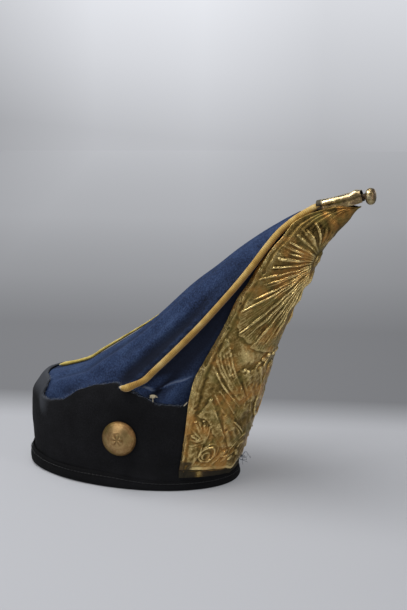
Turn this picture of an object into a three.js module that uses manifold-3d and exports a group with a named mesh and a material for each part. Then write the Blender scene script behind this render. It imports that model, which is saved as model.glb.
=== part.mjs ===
// A mitre cap: a cloth crown on a stiff headband, with an embossed brass plate at the front.
// Millimetres, +Z up. The front faces -Y, and the origin is the bottom centre of the whole cap.
import * as THREE from "three";
import { mergeVertices } from "three/addons/utils/BufferGeometryUtils.js";
import Module from "manifold-3d";

const wasm = await Module();
wasm.setup();

// Driving sizes
const FIT_GAP = 0.3;
const COLUMNS_AROUND = 44;
const CENTRE_FORWARD = 63.1;
const CROWN_WALL = 2;
const CROWN_TUCK = 10;
const CROWN_TOP = 262;
const CROWN_RING = 95;
const CROWN_ROWS = 10;
const FOLD_FADE = 12;
const BAND_WALL = 2.7;
const BAND_BOTTOM = 2.3;
const BAND_UPRIGHT = 18;
const PIPING_RADIUS = 3;
const BACK_PIPING_RADIUS = 1.7;
const PIPING_SIDES = 8;
const PIPING_STEPS = 27;
const SHEET = 0.45;
const FLANGE_CLEARANCE = 1.2;
const FOOT_CLEARANCE = 1.8;
const FOOT_BOTTOM = 13;
const FOOT_TOP = 19.5;
const BUTTON_FORWARD = 13.5;
const BUTTON_UP = 51;
const BUTTON_SIDES = 16;
const CLIP = {
  forward: 186, up: 267.6, slope: 17, length: 35, half: 7.2, height: 7.6, shoulder: 3.6, wall: 0.6,
};
const KNOB = { forward: 219.7, up: 280.1, slope: 4, sides: 14 };

// Level sections of the crown. Forward places are measured from the rim's centre, and the crown is
// widest where the side piping runs. The roof power squares off the part behind the piping.
const BODY = [
  { up: 0, back: -102, wide: 0, front: 104, half: 59.5, power: 2 },
  { up: BAND_UPRIGHT, back: -102, wide: 0, front: 104, half: 59.5, power: 2 },
  { up: 50, back: -103.2, wide: 6, front: 112, half: 60, power: 2 },
  { up: 70, back: -102.6, wide: 11, front: 117, half: 60, power: 2 },
  { up: 82, back: -95, wide: 15, front: 120, half: 60, power: 2.1 },
  { up: 90, back: -88, wide: 18.5, front: 122.5, half: 59.5, power: 2.1 },
  { up: 96, back: -69, wide: 24, front: 124, half: 59, power: 2.2 },
  { up: 104, back: -45, wide: 33, front: 126.5, half: 58, power: 2.2 },
  { up: 113, back: -32, wide: 42, front: 129, half: 57, power: 2.3 },
  { up: 130, back: -7, wide: 59, front: 134.5, half: 54.5, power: 2.4 },
  { up: 150, back: 21, wide: 78, front: 142, half: 51, power: 2.5 },
  { up: 170, back: 45, wide: 96, front: 149, half: 47.5, power: 2.6 },
  { up: 190, back: 65, wide: 112.5, front: 157, half: 43, power: 2.6 },
  { up: 210, back: 89, wide: 128.5, front: 166.5, half: 37, power: 2.6 },
  { up: 230, back: 115, wide: 142, front: 179, half: 30, power: 2.6 },
  { up: 250, back: 145, wide: 157.5, front: 194, half: 20.5, power: 2.5 },
  { up: 264, back: 170, wide: 176, front: 203, half: 8.5, power: 2.2 },
];

// Height of the band's top edge by angle from the front, in degrees, up to the tongue at the back.
const BAND_TOP = [
  { up: 0, top: 88 },
  { up: 56, top: 87.5 },
  { up: 62, top: 86 },
  { up: 70, top: 87 },
  { up: 77, top: 90 },
  { up: 87, top: 96.3 },
  { up: 97, top: 100 },
  { up: 105, top: 101.5 },
  { up: 111.5, top: 98.5 },
  { up: 115, top: 92.5 },
  { up: 119, top: 85.5 },
  { up: 124, top: 78.5 },
  { up: 130, top: 74.5 },
  { up: 136, top: 73 },
  { up: 140.5, top: 76.5 },
  { up: 143, top: 85.5 },
  { up: 146, top: 89.5 },
  { up: 153, top: 91 },
  { up: 180, top: 91.5 },
];

// How tall and how proud the rim's binding is, by angle from the front
const BINDING = [
  { up: 0, tall: 9.5, proud: 6 },
  { up: 62, tall: 9.5, proud: 6 },
  { up: 92, tall: 14, proud: 6 },
  { up: 125, tall: 13.5, proud: 6.4 },
  { up: 155, tall: 16, proud: 7.6 },
  { up: 180, tall: 16.5, proud: 8 },
];

// Soft folds of the crown: where each one is centred, how far it spreads and how far it rises.
const FOLDS = [
  { angle: 82, up: 108, wide: 5, tall: 9, rise: 1.6 },
  { angle: 75, up: 103, wide: 4, tall: 13, rise: -4 },
  { angle: 67, up: 106, wide: 4, tall: 12, rise: 1.2 },
  { angle: 80, up: 150, wide: 9, tall: 40, rise: -2 },
  { angle: 108, up: 150, wide: 8, tall: 55, rise: -2.5 },
  { angle: 128, up: 112, wide: 12, tall: 16, rise: 2 },
  { angle: 180, up: 222, wide: 12, tall: 45, rise: -4 },
];

// The brass face by level: the middle line, and the corner where the edge turns back as a flange.
const PLATE = [
  { up: 22, middle: 111.5, corner: 70, half: 51, flange: 4 },
  { up: 50, middle: 120.5, corner: 75, half: 52.2, flange: 4 },
  { up: 73, middle: 127.5, corner: 80.5, half: 52.6, flange: 6 },
  { up: 98, middle: 135.5, corner: 86.7, half: 53, flange: 8 },
  { up: 113, middle: 139.5, corner: 91, half: 53.2, flange: 8 },
  { up: 127, middle: 142.5, corner: 96.3, half: 52.7, flange: 6 },
  { up: 158, middle: 154.5, corner: 112.3, half: 49.5, flange: 5 },
  { up: 187, middle: 165.5, corner: 126.2, half: 46, flange: 6 },
  { up: 214, middle: 180, corner: 141, half: 39.5, flange: 4.5 },
  { up: 228, middle: 187, corner: 149.2, half: 35, flange: 4 },
  { up: 242, middle: 194.5, corner: 160.2, half: 28.8, flange: 3 },
  { up: 251, middle: 201.5, corner: 165.5, half: 24.7, flange: 1 },
  { up: 259, middle: 208.5, corner: 176, half: 18.7, flange: 1 },
  { up: 267, middle: 214.5, corner: 192.8, half: 12.5, flange: 4 },
  { up: 272, middle: 218.5, corner: 205, half: 9, flange: 3 },
  { up: 276, middle: 222, corner: 217, half: 4, flange: 1.5 },
];
const FACE_BOTTOM = PLATE[0].up;
const FACE_TOP = PLATE.at(-1).up;
const FACE_ARC = THREE.MathUtils.degToRad(65);
const ARC_TO_CHORD = 1.08;

// Where the side piping lies before and after the ridge that it is sewn along
const PIPING_START = [
  { across: 65.4, forward: 15, up: 101.8 },
  { across: 65.2, forward: 21, up: 101.2 },
  { across: 64.2, forward: 28, up: 104.2 },
];
const PIPING_END = [
  { across: 4.4, forward: 181, up: 268.6 },
  { across: 3.3, forward: 185.5, up: 270.8 },
  { across: 3.4, forward: 212, up: 278.5 },
];

// The burst of rays round the boss, and the trophies below it, as raised ribs of the plate
const BOSS_UP = 220;
const BOSS_RADIUS = 8;
const BOSS_HEIGHT = 4.5;
const RAY_HEIGHT = 2;
const RAY_REACH = 78;
const EDGE_COLUMNS = 26;
const FOOT_COLUMNS = 8;
const FACE_SLOPE = 1.12;
const RING_SHARES = [1, 0.88, 0.68, 0.5, 0.32, 0.12];
const RIB_SUNK = 0.3;
const RIB_KEEL = 1;
const RIBS = [
  // A bundle of staves slanting down to the middle
  { across: 60, up: 144, toAcross: 20, toUp: 70, bend: 3, width: 5, height: 1.8, count: 3, spread: 9 },
  // Pleats of a flag
  { across: 46, up: 92, toAcross: 14, toUp: 38, bend: 4, width: 6, height: 1.6, count: 2, spread: 9 },
  // A spray of leaves fanned from one stem
  { across: 55, up: 50, toAcross: 62, toUp: 72, bend: 0, width: 5, height: 1.5, count: 3, fan: 34 },
];
const RIB_STATIONS = 4;
const MUZZLE = { across: 51, up: 37, radius: 8, width: 4, height: 2.2, stations: 10 };

// Smooth value of one column of a table, kept between the rows on either side of it.
function valueAt(rows, column, up) {
  const last = rows.length - 1;
  let i = 0;
  while (i < last - 1 && rows[i + 1].up < up) {
    i += 1;
  }
  const secant = (k) => {
    const from = rows[THREE.MathUtils.clamp(k, 0, last - 1)];
    const to = rows[THREE.MathUtils.clamp(k, 0, last - 1) + 1];
    return (to[column] - from[column]) / (to.up - from.up);
  };
  const slope = (before, after) => (before * after > 0 ? (2 * before * after) / (before + after) : 0);
  const span = rows[i + 1].up - rows[i].up;
  const t = (up - rows[i].up) / span;
  const rise = rows[i + 1][column] - rows[i][column];
  const slopeIn = slope(secant(i - 1), secant(i)) * span;
  const slopeOut = slope(secant(i), secant(i + 1)) * span;
  const bend = slopeIn + slopeOut - 2 * rise;
  return rows[i][column] + t * (slopeIn + t * (3 * rise - 2 * slopeIn - slopeOut + t * bend));
}

// Degrees from the front, alike on both sides
function degreesFromFront(angle) {
  return Math.abs(THREE.MathUtils.radToDeg(Math.atan2(Math.sin(angle), Math.cos(angle))));
}

// Height of the band's top edge at an angle from the front
function bandTop(angle) {
  return valueAt(BAND_TOP, "top", degreesFromFront(angle));
}

// Where the crown's smooth outer face is, at an angle from the front and a height.
function bodySpot(angle, up) {
  const side = Math.sin(angle);
  const ahead = Math.cos(angle);
  const wide = valueAt(BODY, "wide", up);
  const reach = ahead > 0 ? valueAt(BODY, "front", up) - wide : wide - valueAt(BODY, "back", up);
  const curve = ahead > 0 ? 1 : 2 / valueAt(BODY, "power", up);
  const forward = wide + Math.sign(ahead) * reach * Math.abs(ahead) ** curve;
  const across = Math.sign(side) * valueAt(BODY, "half", up) * Math.abs(side) ** curve;
  return new THREE.Vector3(across, -forward, up);
}

// A point a given distance out from that face, square to it.
function bodyPoint(angle, up, out) {
  const turn = 0.02;
  const climb = 1;
  const around = bodySpot(angle + turn, up).sub(bodySpot(angle - turn, up));
  const rise = bodySpot(angle, up + climb).sub(bodySpot(angle, Math.max(up - climb, 0)));
  return bodySpot(angle, up).addScaledVector(around.cross(rise).normalize(), out);
}

// How far the crown's folds lift its face, fading out where it enters the band.
function foldRise(angle, up) {
  const degrees = degreesFromFront(angle);
  const fade = THREE.MathUtils.smoothstep(up - bandTop(angle), 0, FOLD_FADE);
  const bump = ({ angle: centre, up: level, wide, tall, rise }) =>
    rise * Math.exp(-(((degrees - centre) / wide) ** 2) - ((up - level) / tall) ** 2);
  return fade * FOLDS.reduce((sum, fold) => sum + bump(fold), 0);
}

// A closed wall between two grids of points: rows going up, columns going round, open at the
// bottom, and closed at the top by a flat edge or, when domed, by a fan of triangles on each face.
function wallGeometry(outer, inner, domed = false) {
  const rows = outer.length;
  const columns = outer[0].length;
  const points = [...outer.flat(), ...inner.flat()];
  const triangles = [];
  const at = (face, row, column) => (face * rows + row) * columns + (column % columns);
  const quad = (a, b, c, d) => triangles.push(a, b, c, a, c, d);
  const top = rows - 1;
  for (let column = 0; column < columns; column += 1) {
    for (let row = 0; row < top; row += 1) {
      quad(at(0, row, column), at(0, row, column + 1), at(0, row + 1, column + 1), at(0, row + 1, column));
      quad(at(1, row, column), at(1, row + 1, column), at(1, row + 1, column + 1), at(1, row, column + 1));
    }
    quad(at(1, 0, column), at(1, 0, column + 1), at(0, 0, column + 1), at(0, 0, column));
    if (!domed) {
      quad(at(0, top, column), at(0, top, column + 1), at(1, top, column + 1), at(1, top, column));
    }
  }
  if (domed) {
    [outer, inner].forEach((grid, face) => {
      const middle = points.length;
      points.push(middlePoint(grid[top]));
      for (let column = 0; column < columns; column += 1) {
        const edge = [at(face, top, column), at(face, top, column + 1)];
        triangles.push(edge[face], edge[1 - face], middle);
      }
    });
  }
  return meshGeometry(points, triangles);
}

function middlePoint(points) {
  const sum = points.reduce((total, point) => total.add(point), new THREE.Vector3());
  return sum.divideScalar(points.length);
}

function meshGeometry(points, triangles) {
  const geometry = new THREE.BufferGeometry().setFromPoints(points);
  geometry.setIndex(triangles);
  geometry.computeVertexNormals();
  return geometry;
}

// Angles of the columns round the body, from the front
const RING = Array.from({ length: COLUMNS_AROUND }, (_, i) => (2 * Math.PI * i) / COLUMNS_AROUND);

// Rows of points round the body, each row at its own level and distance out
function rowsAt(levels, out) {
  return levels.map((level) =>
    RING.map((angle) => bodyPoint(angle, level(angle), out(angle, level(angle)))));
}

// Where the crown's foot is tucked into the band
function tuckLevel(angle) {
  return bandTop(angle) - CROWN_TUCK;
}

// The crown's rows start on the band's wavy edge and even out at a ring above it.
function crownGeometry() {
  const ring = (angle) => Math.max(bandTop(angle) + 4, CROWN_RING);
  const shares = Array.from({ length: CROWN_ROWS }, (_, i) => (i / (CROWN_ROWS - 1)) ** 1.3);
  const face = (depth, top) => {
    const levels = [tuckLevel, bandTop, (angle) => (bandTop(angle) + ring(angle)) / 2];
    levels.push(...shares.map((share) => (angle) => THREE.MathUtils.lerp(ring(angle), top, share)));
    return rowsAt(levels, (angle, up) => foldRise(angle, up) - depth);
  };
  return wallGeometry(face(0, CROWN_TOP), face(CROWN_WALL, CROWN_TOP - CROWN_WALL), true);
}

function headbandGeometry() {
  const levels = [
    () => BAND_BOTTOM,
    () => BAND_UPRIGHT,
    (angle) => (BAND_UPRIGHT + tuckLevel(angle)) / 2,
    tuckLevel,
    bandTop,
  ];
  return wallGeometry(rowsAt(levels, () => FIT_GAP + BAND_WALL), rowsAt(levels, () => FIT_GAP));
}

// The binding's folded section, as places out from the body's face and up from the ground
function bindingSection(angle) {
  const tall = valueAt(BINDING, "tall", degreesFromFront(angle));
  const proud = valueAt(BINDING, "proud", degreesFromFront(angle));
  const legIn = FIT_GAP + BAND_WALL + FIT_GAP;
  const floor = BAND_BOTTOM - FIT_GAP;
  const outside = [[0.77, 0], [0.97, 0.2], [1, 0.55], [0.83, 0.9], [0.67, 1]];
  return [
    [-1.6, 7], [-1.6, 1], [-0.6, 0],
    ...outside.map(([share, rise]) => [share * proud, rise * tall]),
    [legIn, 0.9 * tall], [legIn, floor], [0, floor], [0, 7],
  ];
}

function rimBindingGeometry() {
  const points = RING.flatMap((angle) =>
    bindingSection(angle).map(([out, up]) => bodyPoint(angle, 0, out).setZ(up)));
  const triangles = [];
  const size = bindingSection(0).length;
  for (let column = 0; column < COLUMNS_AROUND; column += 1) {
    for (let k = 0; k < size; k += 1) {
      const here = column * size;
      const next = ((column + 1) % COLUMNS_AROUND) * size;
      const after = (k + 1) % size;
      triangles.push(here + k, next + after, here + after, here + k, next + k, next + after);
    }
  }
  return meshGeometry(points, triangles);
}

// A cord through the given points, with an even round section
function cordGeometry(points, radius) {
  const section = new THREE.Shape().absarc(0, 0, radius, 0, 2 * Math.PI);
  const extrudePath = new THREE.CatmullRomCurve3(points);
  const curveSegments = PIPING_SIDES / 2;
  return new THREE.ExtrudeGeometry(section, { steps: PIPING_STEPS, extrudePath, curveSegments });
}

function sidePipingGeometry(side) {
  const out = PIPING_RADIUS + FIT_GAP;
  const levels = [109, 118, 130, 145, 162, 180, 200, 218, 234, 247, 257, 263.5];
  const ridge = levels.map((up) => bodyPoint(side * Math.PI / 2, up, out));
  const place = ({ across, forward, up }) => new THREE.Vector3(side * across, -forward, up);
  return cordGeometry([...PIPING_START.map(place), ...ridge, ...PIPING_END.map(place)], PIPING_RADIUS);
}

function backPipingGeometry() {
  const out = BACK_PIPING_RADIUS + 2 * FIT_GAP;
  const levels = [93.2, 96, 100, 106, 114, 128, 146, 166, 188, 208, 228, 240, 250];
  const seam = levels.map((up) => bodyPoint(Math.PI, up, out + foldRise(Math.PI, up)));
  return cordGeometry(seam, BACK_PIPING_RADIUS);
}

// Half the width of the brass face at a level, measured along its curve
function faceHalf(up) {
  const depth = valueAt(PLATE, "middle", up) - valueAt(PLATE, "corner", up);
  return ARC_TO_CHORD * Math.hypot(valueAt(PLATE, "half", up), depth);
}

// A point of the smooth brass face, by its place across and up
function faceSpot(across, up) {
  const turn = (FACE_ARC * across) / faceHalf(up);
  const middle = valueAt(PLATE, "middle", up);
  const depth = middle - valueAt(PLATE, "corner", up);
  const forward = middle - (depth * (1 - Math.cos(turn))) / (1 - Math.cos(FACE_ARC));
  return new THREE.Vector3((valueAt(PLATE, "half", up) * Math.sin(turn)) / Math.sin(FACE_ARC), -forward, up);
}

function facePoint(across, up, out) {
  const wide = faceSpot(across + 0.5, up).sub(faceSpot(across - 0.5, up));
  const rise = faceSpot(across, up + 0.5).sub(faceSpot(across, up - 0.5));
  return faceSpot(across, up).addScaledVector(wide.cross(rise).normalize(), out);
}

// The level where a line from the boss, at an angle from straight up, meets the face's side edge
function edgeLevel(angle) {
  let low = FACE_BOTTOM;
  let high = FACE_TOP;
  for (let pass = 0; pass < 40; pass += 1) {
    const level = (low + high) / 2;
    const reached = Math.atan2(faceHalf(level), (level - BOSS_UP) * FACE_SLOPE);
    if (reached > angle) {
      low = level;
    } else {
      high = level;
    }
  }
  return low;
}

// The angle round the body where its side has come back to a given forward place
function angleAtForward(forward, up) {
  const wide = valueAt(BODY, "wide", up);
  return Math.acos(THREE.MathUtils.clamp((forward - wide) / (valueAt(BODY, "front", up) - wide), 0, 1));
}

// The outline of the face, from the lower left corner along the foot, up the right and down the left.
// Each place has the two further points of the edge that is turned back there.
function plateOutline() {
  const corner = Math.atan2(faceHalf(FACE_BOTTOM), (FACE_BOTTOM - BOSS_UP) * FACE_SLOPE);
  const bandOut = FIT_GAP + BAND_WALL + FLANGE_CLEARANCE;
  const edgePlace = (side, share) => {
    const up = share === 1 ? FACE_BOTTOM : edgeLevel(corner * share);
    const back = valueAt(PLATE, "corner", up) - valueAt(PLATE, "flange", up);
    const out = THREE.MathUtils.lerp(bandOut, FLANGE_CLEARANCE, THREE.MathUtils.smoothstep(up, 94, 108));
    const foot = share === 1 ? FOOT_BOTTOM : up;
    const end = bodyPoint(side * angleAtForward(back, up), foot, out);
    const face = faceSpot(side * faceHalf(up), up);
    return { across: side * faceHalf(up), up, turned: [end, face.clone().lerp(end, 0.5)] };
  };
  const footPlace = (share) => {
    const across = faceHalf(FACE_BOTTOM) * THREE.MathUtils.lerp(-1, 1, share);
    const back = valueAt(PLATE, "corner", FACE_BOTTOM) - valueAt(PLATE, "flange", FACE_BOTTOM);
    const angle = angleAtForward(back, FACE_BOTTOM) * THREE.MathUtils.lerp(-1, 1, share);
    const out = FIT_GAP + BAND_WALL + FOOT_CLEARANCE;
    const turned = [FOOT_BOTTOM, FOOT_TOP].map((up) => bodyPoint(angle, up, out));
    return { across, up: FACE_BOTTOM, turned };
  };
  const shares = Array.from({ length: EDGE_COLUMNS }, (_, i) => (i + 1) / EDGE_COLUMNS);
  const foot = Array.from({ length: FOOT_COLUMNS - 1 }, (_, i) => footPlace((i + 1) / FOOT_COLUMNS));
  const right = shares.toReversed().map((share) => edgePlace(1, share));
  const left = shares.map((share) => edgePlace(-1, share));
  return [...foot, ...right, ...left];
}

// Rings of the plate from its turned edge in to the boss. Every second column is the ridge of a ray.
function plateGrid() {
  const outline = plateOutline();
  const turned = [0, 1].map((k) => outline.map((place) => place.turned[k]));
  const rings = RING_SHARES.map((share, ring) =>
    outline.map(({ across, up }, column) => {
      const reach = Math.hypot(across, (up - BOSS_UP) * FACE_SLOPE);
      const radius = THREE.MathUtils.lerp(BOSS_RADIUS + 2, reach, share);
      const ridge = column % 2 === 1 && ring > 0 && radius < RAY_REACH ? RAY_HEIGHT : 0;
      return facePoint((across * radius) / reach, BOSS_UP + ((up - BOSS_UP) * radius) / reach, ridge);
    }));
  const dome = [1, 0.55].map((share) =>
    outline.map(({ across, up }) => {
      const reach = Math.hypot(across, (up - BOSS_UP) * FACE_SLOPE) / (BOSS_RADIUS * share);
      const lift = BOSS_HEIGHT * Math.sqrt(1 - (0.94 * share) ** 2);
      return facePoint(across / reach, BOSS_UP + (up - BOSS_UP) / reach, lift);
    }));
  return [...turned, ...rings, ...dome];
}

// The same grid moved back by the sheet's thickness
function insetGrid(grid, depth) {
  const columns = grid[0].length;
  return grid.map((row, r) =>
    row.map((point, c) => {
      const around = row[(c + 1) % columns].clone().sub(row[(c + columns - 1) % columns]);
      const inward = grid[Math.min(r + 1, grid.length - 1)][c].clone().sub(grid[Math.max(r - 1, 0)][c]);
      return point.clone().addScaledVector(around.cross(inward).normalize(), -depth);
    }));
}

// A rib along stations of the face, each with a width and a height, closed into a loop or pointed.
// The seat gives points out from the faceted sheet, so that the rib sits in it all along.
function ribGeometry(stations, seat, closed = false) {
  const count = stations.length;
  const points = stations.flatMap(({ across, up, width, height }, i) => {
    const before = stations[closed ? (i + count - 1) % count : Math.max(i - 1, 0)];
    const after = stations[closed ? (i + 1) % count : Math.min(i + 1, count - 1)];
    const along = new THREE.Vector2(after.across - before.across, after.up - before.up).normalize();
    const sideways = [-along.y * width / 2, along.x * width / 2];
    return [
      seat(across + sideways[0], up + sideways[1], -RIB_SUNK),
      seat(across, up, -RIB_KEEL),
      seat(across - sideways[0], up - sideways[1], -RIB_SUNK),
      seat(across, up, height),
    ];
  });
  const triangles = [];
  for (let i = 0; i < (closed ? count : count - 1); i += 1) {
    for (let k = 0; k < 4; k += 1) {
      const here = 4 * i;
      const next = 4 * ((i + 1) % count);
      const after = (k + 1) % 4;
      triangles.push(here + k, next + k, next + after, here + k, next + after, here + after);
    }
  }
  if (!closed) {
    const end = 4 * (count - 1);
    triangles.push(0, 1, 2, 0, 2, 3, end, end + 2, end + 1, end, end + 3, end + 2);
  }
  return meshGeometry(points, triangles);
}

// All the ribs of one row of the table, on one side of the plate
function ribsOf(row, side, seat) {
  return Array.from({ length: row.count }, (_, i) => {
    const middle = i - (row.count - 1) / 2;
    const from = new THREE.Vector2(row.across, row.up);
    const to = new THREE.Vector2(row.toAcross, row.toUp);
    if (row.fan) {
      to.rotateAround(from, THREE.MathUtils.degToRad(row.fan * middle));
    } else {
      const apart = to.clone().sub(from).normalize().rotateAround(new THREE.Vector2(), Math.PI / 2);
      from.addScaledVector(apart, row.spread * middle);
      to.addScaledVector(apart, row.spread * middle);
    }
    const stations = Array.from({ length: RIB_STATIONS }, (_, k) => {
      const share = k / (RIB_STATIONS - 1);
      const swell = 0.25 + 0.75 * Math.sin(Math.PI * share) ** 0.6;
      return {
        across: side * (THREE.MathUtils.lerp(from.x, to.x, share) + row.bend * Math.sin(Math.PI * share)),
        up: THREE.MathUtils.lerp(from.y, to.y, share),
        width: row.width * swell,
        height: row.height * swell,
      };
    });
    return ribGeometry(stations, seat);
  });
}

function muzzleGeometry(side, seat) {
  const stations = Array.from({ length: MUZZLE.stations }, (_, i) => {
    const turn = (2 * Math.PI * i) / MUZZLE.stations;
    return {
      across: side * MUZZLE.across + MUZZLE.radius * Math.cos(turn),
      up: MUZZLE.up + MUZZLE.radius * Math.sin(turn),
      width: MUZZLE.width,
      height: MUZZLE.height,
    };
  });
  return ribGeometry(stations, seat, true);
}

// A geometry as a solid that can be joined and cut, and back again
function solidOf(geometry) {
  const bare = geometry.clone();
  bare.deleteAttribute("normal");
  bare.deleteAttribute("uv");
  const merged = mergeVertices(bare);
  const vertProperties = new Float32Array(merged.attributes.position.array);
  const triVerts = new Uint32Array(merged.index.array);
  return new wasm.Manifold(new wasm.Mesh({ numProp: 3, vertProperties, triVerts }));
}

function geometryOf(solid) {
  const { vertProperties, triVerts } = solid.getMesh();
  const geometry = new THREE.BufferGeometry();
  geometry.setAttribute("position", new THREE.BufferAttribute(vertProperties, 3));
  geometry.setIndex(new THREE.BufferAttribute(triVerts, 1));
  geometry.computeVertexNormals();
  return geometry;
}

function frontPlateGeometry() {
  const grid = plateGrid();
  const sheet = new THREE.Mesh(wallGeometry(grid, insetGrid(grid, SHEET), true));
  const seat = (across, up, out) => {
    const above = facePoint(across, up, 2 * BOSS_HEIGHT);
    const inward = faceSpot(across, up).sub(above).normalize();
    const [hit] = new THREE.Raycaster(above, inward).intersectObject(sheet);
    return hit.point.addScaledVector(inward, -out);
  };
  let plate = solidOf(sheet.geometry);
  for (const side of [-1, 1]) {
    const relief = [...RIBS.flatMap((row) => ribsOf(row, side, seat)), muzzleGeometry(side, seat)];
    for (const geometry of relief) {
      plate = plate.add(solidOf(geometry));
    }
  }
  return geometryOf(plate);
}

// The clip: a folded strip, open below and behind, with a closed front end
function tipClipGeometry() {
  const { half, height, shoulder, wall, length } = CLIP;
  const arch = (inset) => {
    const outline = new THREE.Shape();
    outline.moveTo(half - inset, 0);
    outline.lineTo(half - inset, shoulder);
    outline.quadraticCurveTo(half - inset, height - inset, 0, height - inset);
    outline.quadraticCurveTo(inset - half, height - inset, inset - half, shoulder);
    outline.lineTo(inset - half, 0);
    return outline;
  };
  const options = { bevelEnabled: false, curveSegments: 5 };
  const block = new THREE.ExtrudeGeometry(arch(0), { ...options, depth: length });
  const hollow = new THREE.ExtrudeGeometry(arch(wall), { ...options, depth: length });
  hollow.translate(0, -0.01, -wall);
  return geometryOf(solidOf(block).subtract(solidOf(hollow)));
}

// The knob turned on its stem, from the stem's end to the front
function tipKnobGeometry() {
  const profile = [
    [0, 0], [2.6, 0], [2, 1.6], [2.1, 6.5], [4.4, 7.7], [7.1, 9],
    [8.2, 11.6], [7.4, 14.2], [4.8, 15.9], [0, 16.4],
  ];
  const outline = profile.map(([radius, along]) => new THREE.Vector2(radius, along));
  return new THREE.LatheGeometry(outline, KNOB.sides);
}

// A hollow domed button with a rolled edge, open at the back
function buttonGeometry() {
  const profile = [
    [0, 6.4], [7, 5.6], [7.6, 6.1], [8.6, 5.2], [13, 3.8], [15.8, 2.6], [17.2, 1.4], [16.8, 0], [15.6, 0],
    [13.5, 2.6], [7.5, 4.6], [0, 5.6],
  ];
  const outline = profile.toReversed().map(([radius, out]) => new THREE.Vector2(radius, out));
  return new THREE.LatheGeometry(outline, BUTTON_SIDES);
}

// Materials
const blackCloth = new THREE.MeshStandardMaterial({ color: 0x17171a, roughness: 0.95, metalness: 0 });
const blueCloth = new THREE.MeshStandardMaterial({ color: 0x22304f, roughness: 0.92, metalness: 0 });
const tanCord = new THREE.MeshStandardMaterial({ color: 0xc4a05c, roughness: 0.8, metalness: 0 });
const yellowCord = new THREE.MeshStandardMaterial({ color: 0xd2b044, roughness: 0.8, metalness: 0 });
const agedBrass = new THREE.MeshStandardMaterial({ color: 0x8a7038, roughness: 0.38, metalness: 1 });
const buttonBrass = new THREE.MeshStandardMaterial({ color: 0xb08a58, roughness: 0.4, metalness: 1 });

function piece(name, geometry, material) {
  const mesh = new THREE.Mesh(geometry, material);
  mesh.name = name;
  return mesh;
}

// The cap, modelled about the rim's centre and moved back so that the origin is under its middle
const cap = new THREE.Group();
cap.position.y = CENTRE_FORWARD;
cap.add(
  piece("rim_binding", rimBindingGeometry(), blackCloth),
  piece("headband", headbandGeometry(), blackCloth),
  piece("crown", crownGeometry(), blueCloth),
  piece("back_piping", backPipingGeometry(), yellowCord),
  piece("front_plate", frontPlateGeometry(), agedBrass),
);

for (const [name, side] of [["right", -1], ["left", 1]]) {
  cap.add(piece(`side_piping_${name}`, sidePipingGeometry(side), tanCord));
  const button = piece(`side_button_${name}`, buttonGeometry(), buttonBrass);
  const angle = side * angleAtForward(BUTTON_FORWARD, BUTTON_UP);
  button.position.copy(bodyPoint(angle, BUTTON_UP, FIT_GAP + BAND_WALL + FIT_GAP));
  button.rotation.z = -side * Math.PI / 2;
  cap.add(button);
}

// The clip slopes up over the tip, and the knob stands out level from its front end.
const clip = piece("tip_clip", tipClipGeometry(), agedBrass);
clip.position.set(0, -CLIP.forward, CLIP.up);
clip.rotation.x = THREE.MathUtils.degToRad(90 - CLIP.slope);
const knob = piece("tip_knob", tipKnobGeometry(), agedBrass);
knob.position.set(0, -KNOB.forward, KNOB.up);
knob.rotation.x = THREE.MathUtils.degToRad(180 - KNOB.slope);
cap.add(clip, knob);

const part = new THREE.Group();
part.add(cap);
export default part;
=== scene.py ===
"""A mitre cap: a blue wool crown on a black headband, with an embossed brass plate at the front."""

import bpy
import numpy as np
from mathutils import Matrix, Vector


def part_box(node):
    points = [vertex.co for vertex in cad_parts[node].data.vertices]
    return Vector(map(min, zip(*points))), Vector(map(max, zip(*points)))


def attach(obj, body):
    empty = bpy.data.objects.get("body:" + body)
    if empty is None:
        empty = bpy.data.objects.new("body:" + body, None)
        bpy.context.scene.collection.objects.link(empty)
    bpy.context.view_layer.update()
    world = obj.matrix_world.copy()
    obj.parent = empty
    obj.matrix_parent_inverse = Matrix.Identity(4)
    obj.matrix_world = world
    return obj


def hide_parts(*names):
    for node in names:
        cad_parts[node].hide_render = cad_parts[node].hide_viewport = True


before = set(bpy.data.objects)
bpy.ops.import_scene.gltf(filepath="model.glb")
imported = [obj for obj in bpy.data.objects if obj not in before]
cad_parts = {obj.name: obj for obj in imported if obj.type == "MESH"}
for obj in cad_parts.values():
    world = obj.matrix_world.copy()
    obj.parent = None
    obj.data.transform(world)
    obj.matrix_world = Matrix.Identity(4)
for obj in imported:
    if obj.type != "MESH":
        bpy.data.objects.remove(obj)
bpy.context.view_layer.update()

# All shapes below are in millimetres about the rim's centre: x across, y back, z up. "Forward" is -y.
# An angle round the cap is counted from the front, so that the side piping is at a quarter turn.
MILLIMETRE = 0.001
RIM_LOW, RIM_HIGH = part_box("rim_binding")
RIM_CENTRE = np.array([0, (RIM_LOW.y + RIM_HIGH.y) / 2, 0]) / MILLIMETRE

# The camera, as the photograph was taken
PHOTO_SIZE = (407, 610)
CAMERA_SPOT = (-994.4, -430.3, 428.4)
CAMERA_AHEAD = (0.91444, 0.32740, -0.23792)
FOCAL_PIXELS = 1150
SENSOR = 36

# Driving sizes of the pieces
FIT_GAP = 0.3
BAND_WALL = 2.7
BAND_BOTTOM = 2.3
CROWN_WALL = 2
CROWN_TUCK = 10
CROWN_TOP = 262
CROWN_RING = 95
FOLD_FADE = 12
PIPING_RADIUS = 3
BACK_PIPING_RADIUS = 1.7
SHEET = 0.45
FLANGE_CLEARANCE = 1.2
FOOT_CLEARANCE = 1.8
FOOT_BOTTOM = 13
FOOT_TOP = 19.5
BUTTON_FORWARD = 13.5
BUTTON_UP = 51
SIDES = (("right", -1), ("left", 1))


# Curves and noise
RIPPLE_WAVES = 20


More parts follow.
